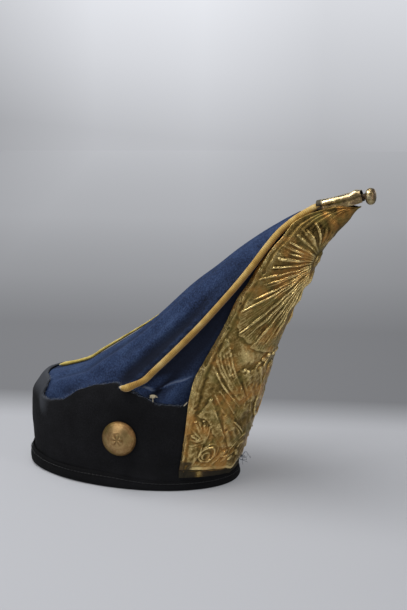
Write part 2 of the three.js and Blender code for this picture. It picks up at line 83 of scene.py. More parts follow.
def through(keys, values, slopes, spots):
    """Places on the smooth curve that has the given values and slopes at its keys."""
    i = np.clip(np.searchsorted(keys, spots) - 1, 0, len(keys) - 2)
    span = keys[i + 1] - keys[i]
    t = (spots - keys[i]) / span
    rise = values[i + 1] - values[i]
    slope_in = slopes[i] * span
    slope_out = slopes[i + 1] * span
    bend = slope_in + slope_out - 2 * rise
    return values[i] + t * (slope_in + t * (3 * rise - 2 * slope_in - slope_out + t * bend))


class Table:
    """Sizes in named columns. The first column is the key that the others go by."""

    def __init__(self, columns, *rows):
        names = columns.split()
        self.columns = dict(zip(names, np.array(rows, float).T))
        self.keys = self.columns[names[0]]

    def __call__(self, column, spots):
        """The value of one column at any key, smooth and kept between the rows on either side."""
        values = self.columns[column]
        secants = np.diff(values) / np.diff(self.keys)
        before = np.append(secants[:1], secants)
        after = np.append(secants, secants[-1:])
        agree = before * after > 0
        slopes = np.where(agree, 2 * before * after / np.where(agree, before + after, 1), 0)
        return through(self.keys, values, slopes, spots)


def ease(values, start, end):
    """0 before start, 1 after end, and a smooth step between them."""
    t = np.clip((values - start) / (end - start), 0, 1)
    return t * t * (3 - 2 * t)


def bell(values, centre, width):
    """1 at the centre, falling smoothly to nought a few widths away."""
    return np.exp(-(((values - centre) / width) ** 2))


def around(count):
    """Angles spaced evenly round a full turn."""
    return np.linspace(0, 2 * np.pi, count, endpoint=False)


def ripple(points, size, seed):
    """Smooth noise, mostly from -1 to 1, with bumps about the given size across."""
    draw = np.random.default_rng(seed)
    ways = draw.normal(size=(RIPPLE_WAVES, np.shape(points)[-1]))
    ways *= np.pi / size / np.linalg.norm(ways, axis=1, keepdims=True)
    phases = draw.uniform(0, 2 * np.pi, RIPPLE_WAVES)
    return np.cos(points @ ways.T + phases).sum(-1) / np.sqrt(RIPPLE_WAVES)


def spots_of(*columns):
    """Points from their columns, each of which may be a number, a row or a whole grid."""
    return np.stack(np.broadcast_arrays(*columns), -1)


def unit(vectors):
    """Vectors of the same ways, all 1 long."""
    return vectors / np.maximum(np.linalg.norm(vectors, axis=-1, keepdims=True), 1e-9)


def curve_through(spots, count):
    """Evenly spaced points of a smooth curve through a few spots."""
    spots = np.array(spots, float)
    keys = np.append(0, np.cumsum(np.sqrt(np.linalg.norm(np.diff(spots, axis=0), axis=1))))
    slopes = np.gradient(spots, keys, axis=0)
    fine = np.linspace(0, keys[-1], 12 * len(spots))
    line = np.stack([through(keys, *column, fine) for column in zip(spots.T, slopes.T)], -1)
    reach = np.append(0, np.cumsum(np.linalg.norm(np.diff(line, axis=0), axis=1)))
    even = np.linspace(0, reach[-1], count)
    return np.stack([np.interp(even, reach, column) for column in line.T], -1)


# Sizes that change along the cap
# The body by height: how far forward its back, its widest place and its front lie, half its width,
# and how square its back is
BODY = Table(
    "up back wide front half power",
    (0, -102, 0, 104, 59.5, 2),
    (18, -102, 0, 104, 59.5, 2),
    (50, -103.2, 6, 112, 60, 2),
    (70, -102.6, 11, 117, 60, 2),
    (82, -95, 15, 120, 60, 2.1),
    (90, -88, 18.5, 122.5, 59.5, 2.1),
    (96, -69, 24, 124, 59, 2.2),
    (104, -45, 33, 126.5, 58, 2.2),
    (113, -32, 42, 129, 57, 2.3),
    (130, -7, 59, 134.5, 54.5, 2.4),
    (150, 21, 78, 142, 51, 2.5),
    (170, 45, 96, 149, 47.5, 2.6),
    (190, 65, 112.5, 157, 43, 2.6),
    (210, 89, 128.5, 166.5, 37, 2.6),
    (230, 115, 142, 179, 30, 2.6),
    (250, 145, 157.5, 194, 20.5, 2.5),
    (264, 170, 176, 203, 8.5, 2.2),
)
# The height of the band's top edge, by degrees from the front
BAND_TOP = Table(
    "degrees top",
    (0, 88), (56, 87.5), (62, 86), (70, 87), (77, 90), (87, 96.3), (97, 100), (105, 101.5),
    (111.5, 98.5), (115, 92.5), (119, 85.5), (124, 78.5), (130, 75), (134, 74), (140, 74.3),
    (143, 77.5), (144.5, 84.5), (147.5, 89.7), (153, 91), (180, 91.5),
)
# How tall the binding is and how far it stands out, by degrees from the front
BINDING = Table(
    "degrees tall proud",
    (0, 9.5, 6), (62, 9.5, 6), (92, 14, 6), (125, 13.5, 6.4), (155, 16, 7.6), (180, 16.5, 8),
)
# Large folds of the crown: degrees from the front and height, their spread in each, and their rise
FOLDS = (
    (82, 108, 5, 9, 1.6),
    (75, 103, 4, 13, -1.5),
    (67, 106, 4, 12, 1.2),
    (80, 150, 9, 40, -2),
    (108, 150, 8, 55, -2.5),
    (128, 112, 12, 16, 2),
    (180, 222, 12, 45, -4),
)
# The plate by height: how far forward its middle and its corners lie, half its width, and how deep
# its turned edges are
PLATE = Table(
    "up middle corner half flange",
    (22, 111.5, 70, 51, 4),
    (50, 120.5, 75, 52.2, 4),
    (73, 127.5, 80.5, 52.6, 6),
    (98, 135.5, 86.7, 53, 8),
    (113, 139.5, 91, 53.2, 8),
    (127, 142.5, 96.3, 52.7, 6),
    (158, 154.5, 112.3, 49.5, 5),
    (187, 165.5, 126.2, 46, 6),
    (214, 180, 141, 39.5, 4.5),
    (228, 187, 149.2, 35, 4),
    (242, 194.5, 160.2, 28.8, 3),
    (251, 201.5, 165.5, 24.7, 1),
    (259, 208.5, 176, 18.7, 1),
    (267, 214.5, 192.8, 12.5, 4),
    (272, 218.5, 205, 9, 3),
    (276, 222, 217, 4, 1.5),
)
FACE_BOTTOM = PLATE.keys[0]
FACE_TOP = PLATE.keys[-1]
# The face bends through this angle on each side of its middle, and its arc is longer than its chord
FACE_ARC = np.radians(65)
ARC_TO_CHORD = 1.08


# The body that the band and the crown follow
def degrees_from_front(angles):
    """How far round from the front, from 0 to 180 on either side."""
    return np.abs(np.degrees(np.arctan2(np.sin(angles), np.cos(angles))))


def band_top(angles):
    """The height of the band's top edge."""
    return BAND_TOP("top", degrees_from_front(angles))


def body_spot(angles, up):
    """A point on the body's own face."""
    side, ahead = np.sin(angles), np.cos(angles)
    wide = BODY("wide", up)
    reach = np.where(ahead > 0, BODY("front", up) - wide, wide - BODY("back", up))
    curve = np.where(ahead > 0, 1, 2 / BODY("power", up))
    forward = wide + np.sign(ahead) * reach * np.abs(ahead) ** curve
    across = np.sign(side) * BODY("half", up) * np.abs(side) ** curve
    return spots_of(across, -forward, up)


def body_point(angles, up, out):
    """A point a given distance out from the body's face, square to it."""
    angles, up, out = np.broadcast_arrays(angles, up, out)
    sideways = body_spot(angles + 0.02, up) - body_spot(angles - 0.02, up)
    rise = body_spot(angles, up + 1.0) - body_spot(angles, np.maximum(up - 1.0, 0))
    return body_spot(angles, up) + unit(np.cross(sideways, rise)) * out[..., None]


def angle_at_forward(forward, up):
    """The angle where the side of the body has come back to a given forward place."""
    wide = BODY("wide", up)
    return np.arccos(np.clip((forward - wide) / (BODY("front", up) - wide), 0, 1))


def fold_rise(angles, up):
    """How far the crown's large folds stand out, from nought at the band's edge."""
    degrees = degrees_from_front(angles)
    lift = sum(
        rise * bell(degrees, centre, wide) * bell(up, level, tall)
        for centre, level, wide, tall, rise in FOLDS
    )
    return ease(up - band_top(angles), 0, FOLD_FADE) * lift


# Meshes
PROFILE_STEPS = 6


def grid_faces(rows, columns, wrap=False, loop=False, start=0):
    """Quads of a grid of corners, which may close on itself across its columns and its rows."""
    index = start + np.arange(rows * columns).reshape(rows, columns)
    if loop:
        index = np.concatenate([index, index[:1]])
    if wrap:
        index = np.hstack([index, index[:, :1]])
    corners = [index[:-1, :-1], index[:-1, 1:], index[1:, 1:], index[1:, :-1]]
    return np.stack(corners, -1).reshape(-1, 4)


def grid_normals(grid):
    """The outward way at each corner of a grid."""
    return unit(np.cross(np.gradient(grid, axis=1), np.gradient(grid, axis=0)))


def fan(ring, middle):
    """Triangles from a closed ring of corners to one middle point."""
    return np.stack([ring, np.roll(ring, -1), np.full(len(ring), middle)], -1)


def wall(outer, inner, domed=False):
    """A closed wall round the cap between two grids, with a flat edge or a dome at the top."""
    columns = outer.shape[1]
    first_inner = outer.shape[0] * columns
    points = np.concatenate([outer.reshape(-1, 3), inner.reshape(-1, 3)])
    faces = grid_faces(*outer.shape[:2], wrap=True).tolist()
    faces += grid_faces(*inner.shape[:2], wrap=True, start=first_inner)[:, ::-1].tolist()
    foot = np.arange(columns)
    faces += strip(first_inner + foot, foot)
    outer_top = first_inner - columns + foot
    inner_top = len(points) - columns + foot
    if domed:
        middles = [outer[-1].mean(0), inner[-1].mean(0)]
        faces += fan(outer_top, len(points)).tolist()
        faces += fan(inner_top, len(points) + 1)[:, ::-1].tolist()
        points = np.concatenate([points, middles])
    else:
        faces += strip(outer_top, inner_top)
    return points, faces


def strip(lower, upper):
    """Quads between two closed rings of corners."""
    return np.stack([lower, np.roll(lower, -1), np.roll(upper, -1), upper], -1).tolist()


def capped(grid, ends):
    """A tube through rings of corners, closed at each end by a fan to one point."""
    rows, sides = grid.shape[:2]
    ring = np.arange(sides)
    last = rows * sides
    faces = grid_faces(rows, sides, wrap=True).tolist()
    faces += fan(ring, last)[:, ::-1].tolist()
    faces += fan(last - sides + ring, last + 1).tolist()
    return np.concatenate([grid.reshape(-1, 3), ends]), faces


def tube(path, radii, sides):
    """A cord along a path, closed at both ends, whose rings turn with it without twisting."""
    ahead = unit(np.gradient(path, axis=0))
    across = np.empty_like(path)
    way = np.cross(ahead[0], (0.3, 0.2, 1))
    for i, along in enumerate(ahead):
        way = unit(way - along * way.dot(along))
        across[i] = way
    other = np.cross(ahead, across)
    turn = around(sides)[:, None]
    ring = np.cos(turn) * across[:, None] + np.sin(turn) * other[:, None]
    radii = np.broadcast_to(radii, len(path))[:, None, None]
    return capped(path[:, None] + radii * ring, path[[0, -1]])


def joined(parts):
    """Several shapes as one."""
    points, faces, first = [], [], 0
    for part_points, part_faces in parts:
        points.append(part_points)
        faces += [[first + corner for corner in face] for face in part_faces]
        first += len(part_points)
    return np.concatenate(points), faces


def turned(profile, sides):
    """A profile of radii and heights turned about the z axis, and its two ends on the axis."""
    line = curve_through(profile, PROFILE_STEPS * len(profile))[1:-1]
    turn = around(sides)
    grid = spots_of(line[:, :1] * np.cos(turn), line[:, :1] * np.sin(turn), line[:, 1:])
    return grid, np.array([(0, 0, profile[0][1]), (0, 0, profile[-1][1])], float)


def filled(values, shape, rest):
    """Numbers for the first points of a shape, and one number for all the points after them."""
    values = np.ravel(values)
    return np.append(values, np.full(len(shape[0]) - values.size, rest))


def add_piece(name, shape, material, slot, nodes=(), **attributes):
    """A piece of the cap, with a number for each of its points in each named attribute."""
    points, faces = shape
    mesh = bpy.data.meshes.new(name)
    mesh.from_pydata(((points + RIM_CENTRE) * MILLIMETRE).tolist(), [], faces)
    mesh.shade_smooth()
    mesh.materials.append(material)
    for attribute, values in attributes.items():
        layer = mesh.attributes.new(attribute, "FLOAT", "POINT")
        layer.data.foreach_set("value", np.ravel(values).astype(np.float32))
    piece = bpy.data.objects.new(name, mesh)
    bpy.context.scene.collection.objects.link(piece)
    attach(piece, "root")
    if nodes:
        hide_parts(*nodes)


# Materials
class Shader:
    """A material and the few kinds of node that the finishes here are made of."""

    def __init__(self, name):
        self.material = bpy.data.materials.new(name)
        self.material.use_nodes = True
        self.tree = self.material.node_tree
        self.surface = self.tree.nodes["Principled BSDF"]
        self.place = self.node("ShaderNodeTexCoord").outputs["Object"]

    def node(self, kind, inputs=None, **settings):
        node = self.tree.nodes.new(kind)
        for name, value in settings.items():
            setattr(node, name, value)
        for name, value in (inputs or {}).items():
            self.feed(node.inputs[name], value)
        return node

    def feed(self, socket, value):
        if isinstance(value, bpy.types.NodeSocket):
            self.tree.links.new(value, socket)
        else:
            socket.default_value = value

    def finish(self, **inputs):
        sockets = {socket.name.lower().replace(" ", "_"): socket for socket in self.surface.inputs}
        for name, value in inputs.items():
            self.feed(sockets[name], value)

    def noise(self, size, detail=2, rough=0.5):
        """Noise whose bumps are about the given size across, in millimetres."""
        scale = 1 / (size * MILLIMETRE)
        inputs = {"Vector": self.place, "Scale": scale, "Detail": detail, "Roughness": rough}
        return self.node("ShaderNodeTexNoise", inputs).outputs["Fac"]

    def attribute(self, name):
        return self.node("ShaderNodeAttribute", attribute_name=name).outputs["Fac"]

    def ramp(self, value, *stops):
        """A colour or a grey by value, from stops of a place and a colour."""
        node = self.node("ShaderNodeValToRGB", {"Fac": value})
        elements = node.color_ramp.elements
        while len(elements) < len(stops):
            elements.new(0.5)
        for element, (spot, colour) in zip(elements, stops):
            element.position = spot
            element.color = (*colour, 1) if isinstance(colour, tuple) else (colour, colour, colour, 1)
        return node.outputs["Color"]

    def mix(self, share, first, second, how="MIX"):
        node = self.node("ShaderNodeMix", data_type="RGBA", blend_type=how)
        for socket, value in zip((node.inputs[0], node.inputs[6], node.inputs[7]), (share, first, second)):
            self.feed(socket, (*value, 1) if isinstance(value, tuple) else value)
        return node.outputs[2]

    def sums(self, *terms):
        """The sum of several values, each times its own number."""
        total = None
        for value, times in terms:
            part = self.node("ShaderNodeMath", {0: value, 1: times}, operation="MULTIPLY").outputs[0]
            if total is not None:
                part = self.node("ShaderNodeMath", {0: total, 1: part}, operation="ADD").outputs[0]
            total = part
        return total

    def bump(self, height, depth):
        """A bumped normal, where a height of 1 stands the given depth in millimetres proud."""
        inputs = {"Height": height, "Distance": depth * MILLIMETRE}
        return self.node("ShaderNodeBump", inputs).outputs["Normal"]


def wool(name, dark, mid, pale, worn, sheen, nap=0.9):
    """Felted wool: short nap, soft patches of fading, and painted shade, wear and painted highlights its
    pieces mark.
    """
    shader = Shader(name)
    fine = shader.noise(nap, 3, rough=0.7)
    patches = shader.noise(16, 3)
    broad = shader.noise(70, 2)
    tone = shader.sums((fine, 0.6), (patches, 0.2), (broad, 0.3))
    cloth = shader.ramp(tone, (0.39, dark), (0.55, mid), (0.71, pale))
    shaded = shader.mix(shader.attribute("shade"), cloth, dark)
    wear = shader.sums((shader.attribute("wear"), 0.75), (fine, 0.35))
    share = shader.ramp(wear, (0.3, 0.0), (0.95, 1.0))
    shader.finish(
        base_color=shader.mix(share, shaded, worn),
        roughness=0.95,
        specular_ior_level=0.15,
        sheen_weight=sheen,
        sheen_roughness=0.45,
        sheen_tint=(*pale, 1),
        normal=shader.bump(shader.sums((fine, 0.8), (shader.noise(3.5, 2), 0.6)), 0.35),
    )
    return shader.material


def corded(name, dark, mid, pale, cut):
    """Ribbed cord, darker in its grooves, with painted shade on its underside and a paler frayed end."""
    shader = Shader(name)
    fine = shader.noise(0.7, 3, rough=0.7)
    patches = shader.noise(12, 3)
    tone = shader.sums((fine, 0.4), (patches, 0.7), (shader.attribute("rib"), 0.16))
    upper = shader.ramp(tone, (0.37, dark), (0.63, mid), (0.86, pale))
    cloth = shader.mix(shader.attribute("under"), upper, dark)
    shader.finish(
        base_color=shader.mix(shader.attribute("cut"), cloth, cut),
        roughness=0.82,
        specular_ior_level=0.25,
        sheen_weight=0.25,
        sheen_roughness=0.5,
        normal=shader.bump(fine, 0.18),
    )
    return shader.material


def aged_brass(name, deep, dull, bright, copper, shine=0.36, patch=22):
    """Old brass: dark tarnish and painted shade in the hollows, rubbed ridges with painted highlights, olive
    and coppery patches.
    """
    shader = Shader(name)
    # Rubbed ridges and tarnished hollows, with painted highlights on the ridges and painted shade in the
    # hollows.
    crest = shader.attribute("crest")
    patches = shader.noise(patch, 4, rough=0.6)
    spots = shader.noise(3.2, 4, rough=0.7)
    # Stains that its pieces mark, partly painted shade in openings and under parts.
    stain = shader.attribute("stain")
    grain = shader.noise(0.8, 2)
    height = shader.sums((crest, 0.85), (patches, 0.25), (spots, 0.35), (grain, 0.15))
    brass = shader.ramp(height, (0.56, deep), (0.8, dull), (1.05, bright))
    reddened = shader.ramp(shader.noise(1.1 * patch, 3, rough=0.65), (0.5, 0.0), (0.65, 0.7))
    olive = shader.ramp(shader.noise(15, 3), (0.5, 0.0), (0.68, 0.6))
    coppery = shader.mix(reddened, brass, copper)
    tinted = shader.mix(olive, coppery, (0.2, 0.17, 0.05))
    rough = shader.ramp(height, (0.65, shine + 0.2), (0.88, shine - 0.08), (1.0, shine - 0.19))
    shader.finish(
        base_color=shader.mix(stain, tinted, (0.02, 0.019, 0.016)),
        metallic=shader.ramp(stain, (0.2, 1.0), (0.8, 0.0)),
        specular_ior_level=0.1,
        roughness=shader.mix(stain, rough, (0.85, 0.85, 0.85)),
        normal=shader.bump(shader.sums((spots, 0.7), (grain, 0.3)), 0.5),
    )
    return shader.material


def plain_thread(name, colour):
    """Dull thread, with darker flecks."""
    shader = Shader(name)
    fine = shader.noise(0.5, 2)
    dim = tuple(0.6 * part for part in colour)
    shader.finish(base_color=shader.mix(fine, dim, colour), roughness=0.85, sheen_weight=0.2)
    return shader.material


BLUE_WOOL = wool(
    "blue_wool", (0.0072, 0.0087, 0.0158), (0.022, 0.038, 0.092), (0.05, 0.082, 0.165),
    (0.16, 0.19, 0.26), 0.4, nap=1.5)
BLACK_WOOL = wool(
    "black_wool", (0.0042, 0.0042, 0.0047), (0.0088, 0.0089, 0.01), (0.018, 0.018, 0.0205),
    (0.062, 0.066, 0.075), 0.2)
BLACK_TAPE = wool(
    "black_tape", (0.003, 0.003, 0.0034), (0.006, 0.006, 0.0066), (0.012, 0.012, 0.0135),
    (0.035, 0.036, 0.04), 0.12, nap=0.6)
TAN_CORD = corded(
    "tan_cord", (0.22, 0.105, 0.022), (0.49, 0.3, 0.062), (0.68, 0.52, 0.23), (0.72, 0.58, 0.36))
YELLOW_CORD = corded(
    "yellow_cord", (0.22, 0.15, 0.02), (0.60, 0.46, 0.10), (0.85, 0.72, 0.30), (0.7, 0.6, 0.3))
PLATE_BRASS = aged_brass(
    "plate_brass", (0.030, 0.020, 0.007), (0.27, 0.175, 0.052), (0.92, 0.70, 0.30), (0.56, 0.27, 0.07))
TIP_BRASS = aged_brass(
    "tip_brass", (0.05, 0.035, 0.016), (0.32, 0.23, 0.11), (0.88, 0.72, 0.42), (0.38, 0.235, 0.15),
    shine=0.3, patch=12)
BUTTON_BRASS = aged_brass(
    "button_brass", (0.08, 0.043, 0.016), (0.26, 0.15, 0.058), (0.45, 0.295, 0.13), (0.27, 0.138, 0.054),
    shine=0.5, patch=9)
CREAM_THREAD = plain_thread("cream_thread", (0.72, 0.62, 0.42))
PALE_THREAD = plain_thread("pale_thread", (0.17, 0.20, 0.27))
BLACK_THREAD = plain_thread("black_thread", (0.006, 0.006, 0.0065))


# Crown
CROWN_COLUMNS = 400
CROWN_ROWS = 190
CROWN_INNER_ROWS = 24
# The share of the crown's rows that lies below its ring
LOW_ROWS = 0.2
RIDGE_DEGREES = 90
SEAM_DEGREES = 180
# The gathers over the band's edge: how high up their ledge lies, by degrees from the front
LEDGE = Table(
    "degrees up",
    (0, 117), (55, 117.5), (64, 116.5), (69, 113), (73.5, 109.5), (75.8, 105.5), (77.5, 100), (82, 103),
    (87, 104.5), (89, 100), (92, 95), (180, 90),
)
GATHER_DEGREES = 76.5
PUFF_RISE = 4


def crown_levels(angles, rows, top):
    """Heights of the crown's rows, from its tuck inside the band to its top."""
    share = np.linspace(0, 1, rows)[:, None]
    edge = band_top(angles)
    ring = np.maximum(edge + 4, CROWN_RING)
    lower = (edge - CROWN_TUCK) + (ring - edge + CROWN_TUCK) * share / LOW_ROWS
    upper = ring + (top - ring) * (np.maximum(share - LOW_ROWS, 0) / (1 - LOW_ROWS)) ** 1.15
    return np.where(share < LOW_ROWS, lower, upper)


def seam_sink(up):
    """How deep the centre back seam lies between the swellings beside it."""
    return 3 * ease(up, 100, 215)


def puff_share(angles, up):
    """How much of a puff there is: from the ledge that its gathers make down to the band's edge."""
    degrees = degrees_from_front(angles)
    below = LEDGE("up", degrees) - up
    sides = ease(degrees, 91.5, 88.5) * ease(degrees, 61, 68)
    return ease(below, -1, 2.2) * sides * ease(up - band_top(angles), -0.5, 2.5)


def gather_share(angles, up):
    """How near a place is to the point where a stitch draws the cloth in."""
    return bell(degrees_from_front(angles), GATHER_DEGREES, 2.6) * ease(up, 105, 97)


def crown_relief(angles, up):
    """How far the sewn cloth stands out from its smooth form: folds, seams, gathers and slack."""
    degrees = degrees_from_front(angles)
    spots = spots_of(degrees * 0.9, up, 30 * np.sign(np.sin(angles)))
    fade = ease(up - band_top(angles), -1, 7)
    ridge = -1.3 * bell(degrees, RIDGE_DEGREES, 2.6)
    seam = ridge - (0.3 + seam_sink(up)) * bell(degrees, SEAM_DEGREES, 3)
    pucker = 0.35 * bell(degrees, RIDGE_DEGREES, 7) * np.sin(up * 0.8)
    slack = 0.55 * ripple(spots, 34, 3) + 0.22 * ripple(spots, 11, 4)
    pinch = 5.5 * gather_share(angles, up)
    drapes = 1.2 * np.cos(np.radians(15 * (degrees - 112)) + 0.5 * np.sin(up / 30)) * ease(degrees, 93, 99)
    drapes *= ease(up, 250, 110) * ease(degrees, 172, 155)
    swell = 1.8 * bell(degrees, 166, 8) * ease(up, 135, 215)
    gathers = puff_share(angles, up) * (PUFF_RISE - pinch + 0.5 * ripple(spots, 7, 5))
    return fold_rise(angles, up) + fade * (seam + pucker + slack + drapes + swell) + gathers


def crown_shade(angles, up, rise):
    """Painted shade: how dark the cloth is made in its valleys, gores and hollows, and along its seam."""
    degrees = degrees_from_front(angles)
    valley = bell(degrees, 86, 5) * ease(up, 100, 120)
    gore = ease(degrees, RIDGE_DEGREES, 76) * (0.4 + 0.22 * ease(up, 140, 175))
    shade = 0.7 * valley + gore + 0.3 * np.clip(-rise, 0, 2)
    shade += 0.55 * bell(degrees, 101, 6) * ease(up, 205, 120)
    shade += 0.9 * bell(degrees, SEAM_DEGREES, 3.4)
    below = LEDGE("up", degrees) - up
    hollow = ease(below, 2, 5) * (bell(degrees, 82, 4) + bell(degrees, 72, 3))
    shade = shade + puff_share(angles, up) * (0.7 * hollow - 0.6) + 0.8 * gather_share(angles, up)
    return np.clip(shade, 0, 0.9)


def crown_wear(angles, up):
    """The rim of each puff just under its ledge, lighter as wear and as a painted highlight where it faces
    up.
    """
    below = LEDGE("up", degrees_from_front(angles)) - up
    return 0.75 * puff_share(angles, up) * bell(below, 1.2, 1.2) * (1 - gather_share(angles, up))


def add_crown():
    angles = around(CROWN_COLUMNS)
    up = crown_levels(angles, CROWN_ROWS, CROWN_TOP)
    rise = crown_relief(angles, up)
    inner_up = crown_levels(angles, CROWN_INNER_ROWS, CROWN_TOP - CROWN_WALL)
    inner = body_point(angles, inner_up, fold_rise(angles, inner_up) - CROWN_WALL - 1)
    shape = wall(body_point(angles, up, rise), inner, domed=True)
    shade = filled(crown_shade(angles, up, rise), shape, 0.8)
    wear = filled(crown_wear(angles, up), shape, 0)
    add_piece("crown_cloth", shape, BLUE_WOOL, "blue_cloth", ["crown"], shade=shade, wear=wear)


# Headband
BAND_COLUMNS = 480
BAND_ROWS = 46
BAND_INNER_ROWS = 14
# The rounded top edge: how far below the cut each row lies, and how far out from the face
BAND_LIP = np.array([(0.9, -0.25), (0.35, -0.7), (0.0, -1.3)])
FIBRE_DEGREES = np.arange(58, 150, 0.16)
FIBRE_STEPS = np.array([0, 0.5, 1.0])
FIBRE_RADII = np.array([0.09, 0.08, 0.03])


def rim_spots(angles):
    """Places round a circle about as large as the rim, for noise that runs along it."""
    return 85 * spots_of(np.cos(angles), np.sin(angles))


def band_edge(angles):
    """The band's cut top edge, a little uneven."""
    spots = rim_spots(angles)
    uneven = 0.7 * ripple(spots, 9, 11) + 0.35 * ripple(spots, 2.6, 12)
    return band_top(angles) + uneven * (0.15 + 0.85 * ease(degrees_from_front(angles), 140, 128))


def add_headband():
    angles = around(BAND_COLUMNS)
    edge = band_edge(angles)
    share = np.linspace(0, 1, BAND_ROWS)[:, None] ** 0.8
    up = BAND_BOTTOM + (edge - 1.3 - BAND_BOTTOM) * share
    spots = spots_of(90 * np.sin(angles), 90 * np.cos(angles), up)
    slack = 0.35 * ripple(spots, 30, 13) + 0.12 * ripple(spots, 9, 14)
    out = FIT_GAP + BAND_WALL + slack * ease(up, 14, 30)
    up = np.concatenate([up, edge - BAND_LIP[:, :1]])
    out = np.concatenate([out, out[-1] + BAND_LIP[:, 1:]])
    outer = body_point(angles, up, out)
    inner_up = BAND_BOTTOM + (edge - 0.4 - BAND_BOTTOM) * np.linspace(0, 1, BAND_INNER_ROWS)[:, None]
    inner = body_point(angles, inner_up, FIT_GAP + 0 * inner_up)
    shape = wall(outer, inner)
    below = edge - up
    tongue = ease(degrees_from_front(angles), 130, 143)
    # A little wear all over, painted highlight on the tongue at the back where its strip faces up, and a
    # lighter cut top edge.
    near_edge = 0.05 + 0.9 * tongue * ease(below, 24, 6) + 0.25 * ease(below, 1.4, 0.4)
    wear = filled(near_edge, shape, 0)
    add_piece("headband_cloth", shape, BLACK_WOOL, "black_cloth", ["headband"], wear=wear, shade=0 * wear)


def add_edge_fibres():
    """The pale frayed edge of the crown's cloth where it goes into the band."""
    draw = np.random.default_rng(21)
    hairs = []
    for degrees in FIBRE_DEGREES:
        for side in (-1, 1):
            angle = side * np.radians(degrees + draw.normal(0, 0.1))
            low = band_edge(np.array([angle]))[0] + draw.uniform(-0.9, 0.2)
            lean = draw.normal(0, 0.02)
            length = draw.uniform(0.8, 2.0)
            out = 1.6 + draw.uniform(-0.9, 1.2) + FIBRE_STEPS * draw.uniform(-0.3, 0.8)
            path = body_point(angle + lean * FIBRE_STEPS, low + length * FIBRE_STEPS, out)
            hairs.append(tube(path, FIBRE_RADII, 3))
    add_piece("band_edge_fibres", joined(hairs), PALE_THREAD, "blue_cloth")


# Rim binding
BINDING_COLUMNS = 420
# The line of stitches: how far up the binding it lies, and the angle from stitch to stitch
STITCH_SHARE = 0.78
STITCH_STEP = np.radians(2.3)


def rounded(section, times):
    """A closed section with its corners cut off again and again."""
    for _ in range(times):
        after = np.roll(section, -1, axis=0)
        section = np.stack([0.75 * section + 0.25 * after, 0.25 * section + 0.75 * after], 1)
        section = section.reshape(-1, *section.shape[2:])
    return section


def binding_section(angles):
    """Corners of the binding's section, out from the body and up, for each angle."""
    degrees = degrees_from_front(angles)
    tall = BINDING("tall", degrees)
    proud = BINDING("proud", degrees)
    leg = FIT_GAP + BAND_WALL + FIT_GAP
    floor = BAND_BOTTOM - FIT_GAP
    outside = [(0.77, 0), (0.97, 0.18), (1, 0.45), (0.84, 0.75), (0.62, 1.1)]
    corners = [(-1.6, 7), (-1.6, 1), (-0.6, 0)]
    corners += [(share * proud, rise * tall) for share, rise in outside]
    corners += [(leg, 0.9 * tall), (leg, floor), (0, floor), (0, 7)]
    return np.array([np.broadcast_arrays(out, up, angles)[:2] for out, up in corners])


def add_rim_binding():
    angles = around(BINDING_COLUMNS)
    section = rounded(binding_section(angles), 2)
    out, up = section[:, 0], section[:, 1]
    spots = rim_spots(angles)
    pucker = 0.14 * ripple(spots, 6, 31) + 0.4 * ripple(spots, 21, 32)
    tall = BINDING("tall", degrees_from_front(angles))
    free = ease(out, 3.3, 4.4)
    out = out + pucker * free * ease(up, 0, 3)
    up = up + 0.5 * ripple(spots, 12, 33) * ease(up, 0.7 * tall, tall) * free
    seam = bell(up, STITCH_SHARE * tall, 0.9) * free
    grid = body_point(angles, 0 * up, out - 0.25 * seam)
    grid[..., 2] = np.maximum(up, 0)
    shape = grid.reshape(-1, 3), grid_faces(*grid.shape[:2], wrap=True, loop=True).tolist()
    # Painted highlight along the top of the binding's fold.
    wear = 0.1 * ease(up, 0.75 * tall, tall) * free
    add_piece("rim_tape", shape, BLACK_TAPE, "black_binding", ["rim_binding"], wear=wear, shade=0 * wear)
    add_binding_stitches()


def add_binding_stitches():
    stitches = []
    for angle in np.arange(0, 2 * np.pi, STITCH_STEP):
        degrees = degrees_from_front(angle)
        up = STITCH_SHARE * BINDING("tall", degrees)
        out = 0.86 * BINDING("proud", degrees)
        spread = angle + STITCH_STEP * np.array([-0.3, -0.15, 0.15, 0.3])
        path = body_point(spread, np.zeros(4), out + np.array([-0.5, 0.1, 0.1, -0.5]))
        path[:, 2] = up
        stitches.append(tube(path, 0.3, 5))
    add_piece("rim_stitches", joined(stitches), BLACK_THREAD, "black_binding")


# Piping
PIPING_LEVELS = (109, 118, 130, 145, 162, 180, 200, 218, 234, 247, 257, 263.5)
BACK_LEVELS = (93.2, 96, 100, 106, 114, 128, 146, 166, 188, 208, 228, 240, 250)
PIPING_START = ((65.4, 15, 101.8), (65.2, 21, 101.2), (64.2, 28, 104.2))
PIPING_END = ((4.4, 181, 268.6), (3.3, 185.5, 270.8), (3.4, 212, 278.5))


def side_piping_path(side):
    """Places along the ridge on one side, and along the cord's two ends beyond it."""
    ridge = body_point(side * np.pi / 2, np.array(PIPING_LEVELS), PIPING_RADIUS + FIT_GAP)
    start, end = (np.array(spots) * (side, -1, 1) for spots in (PIPING_START, PIPING_END))
    return np.concatenate([start, ridge, end])


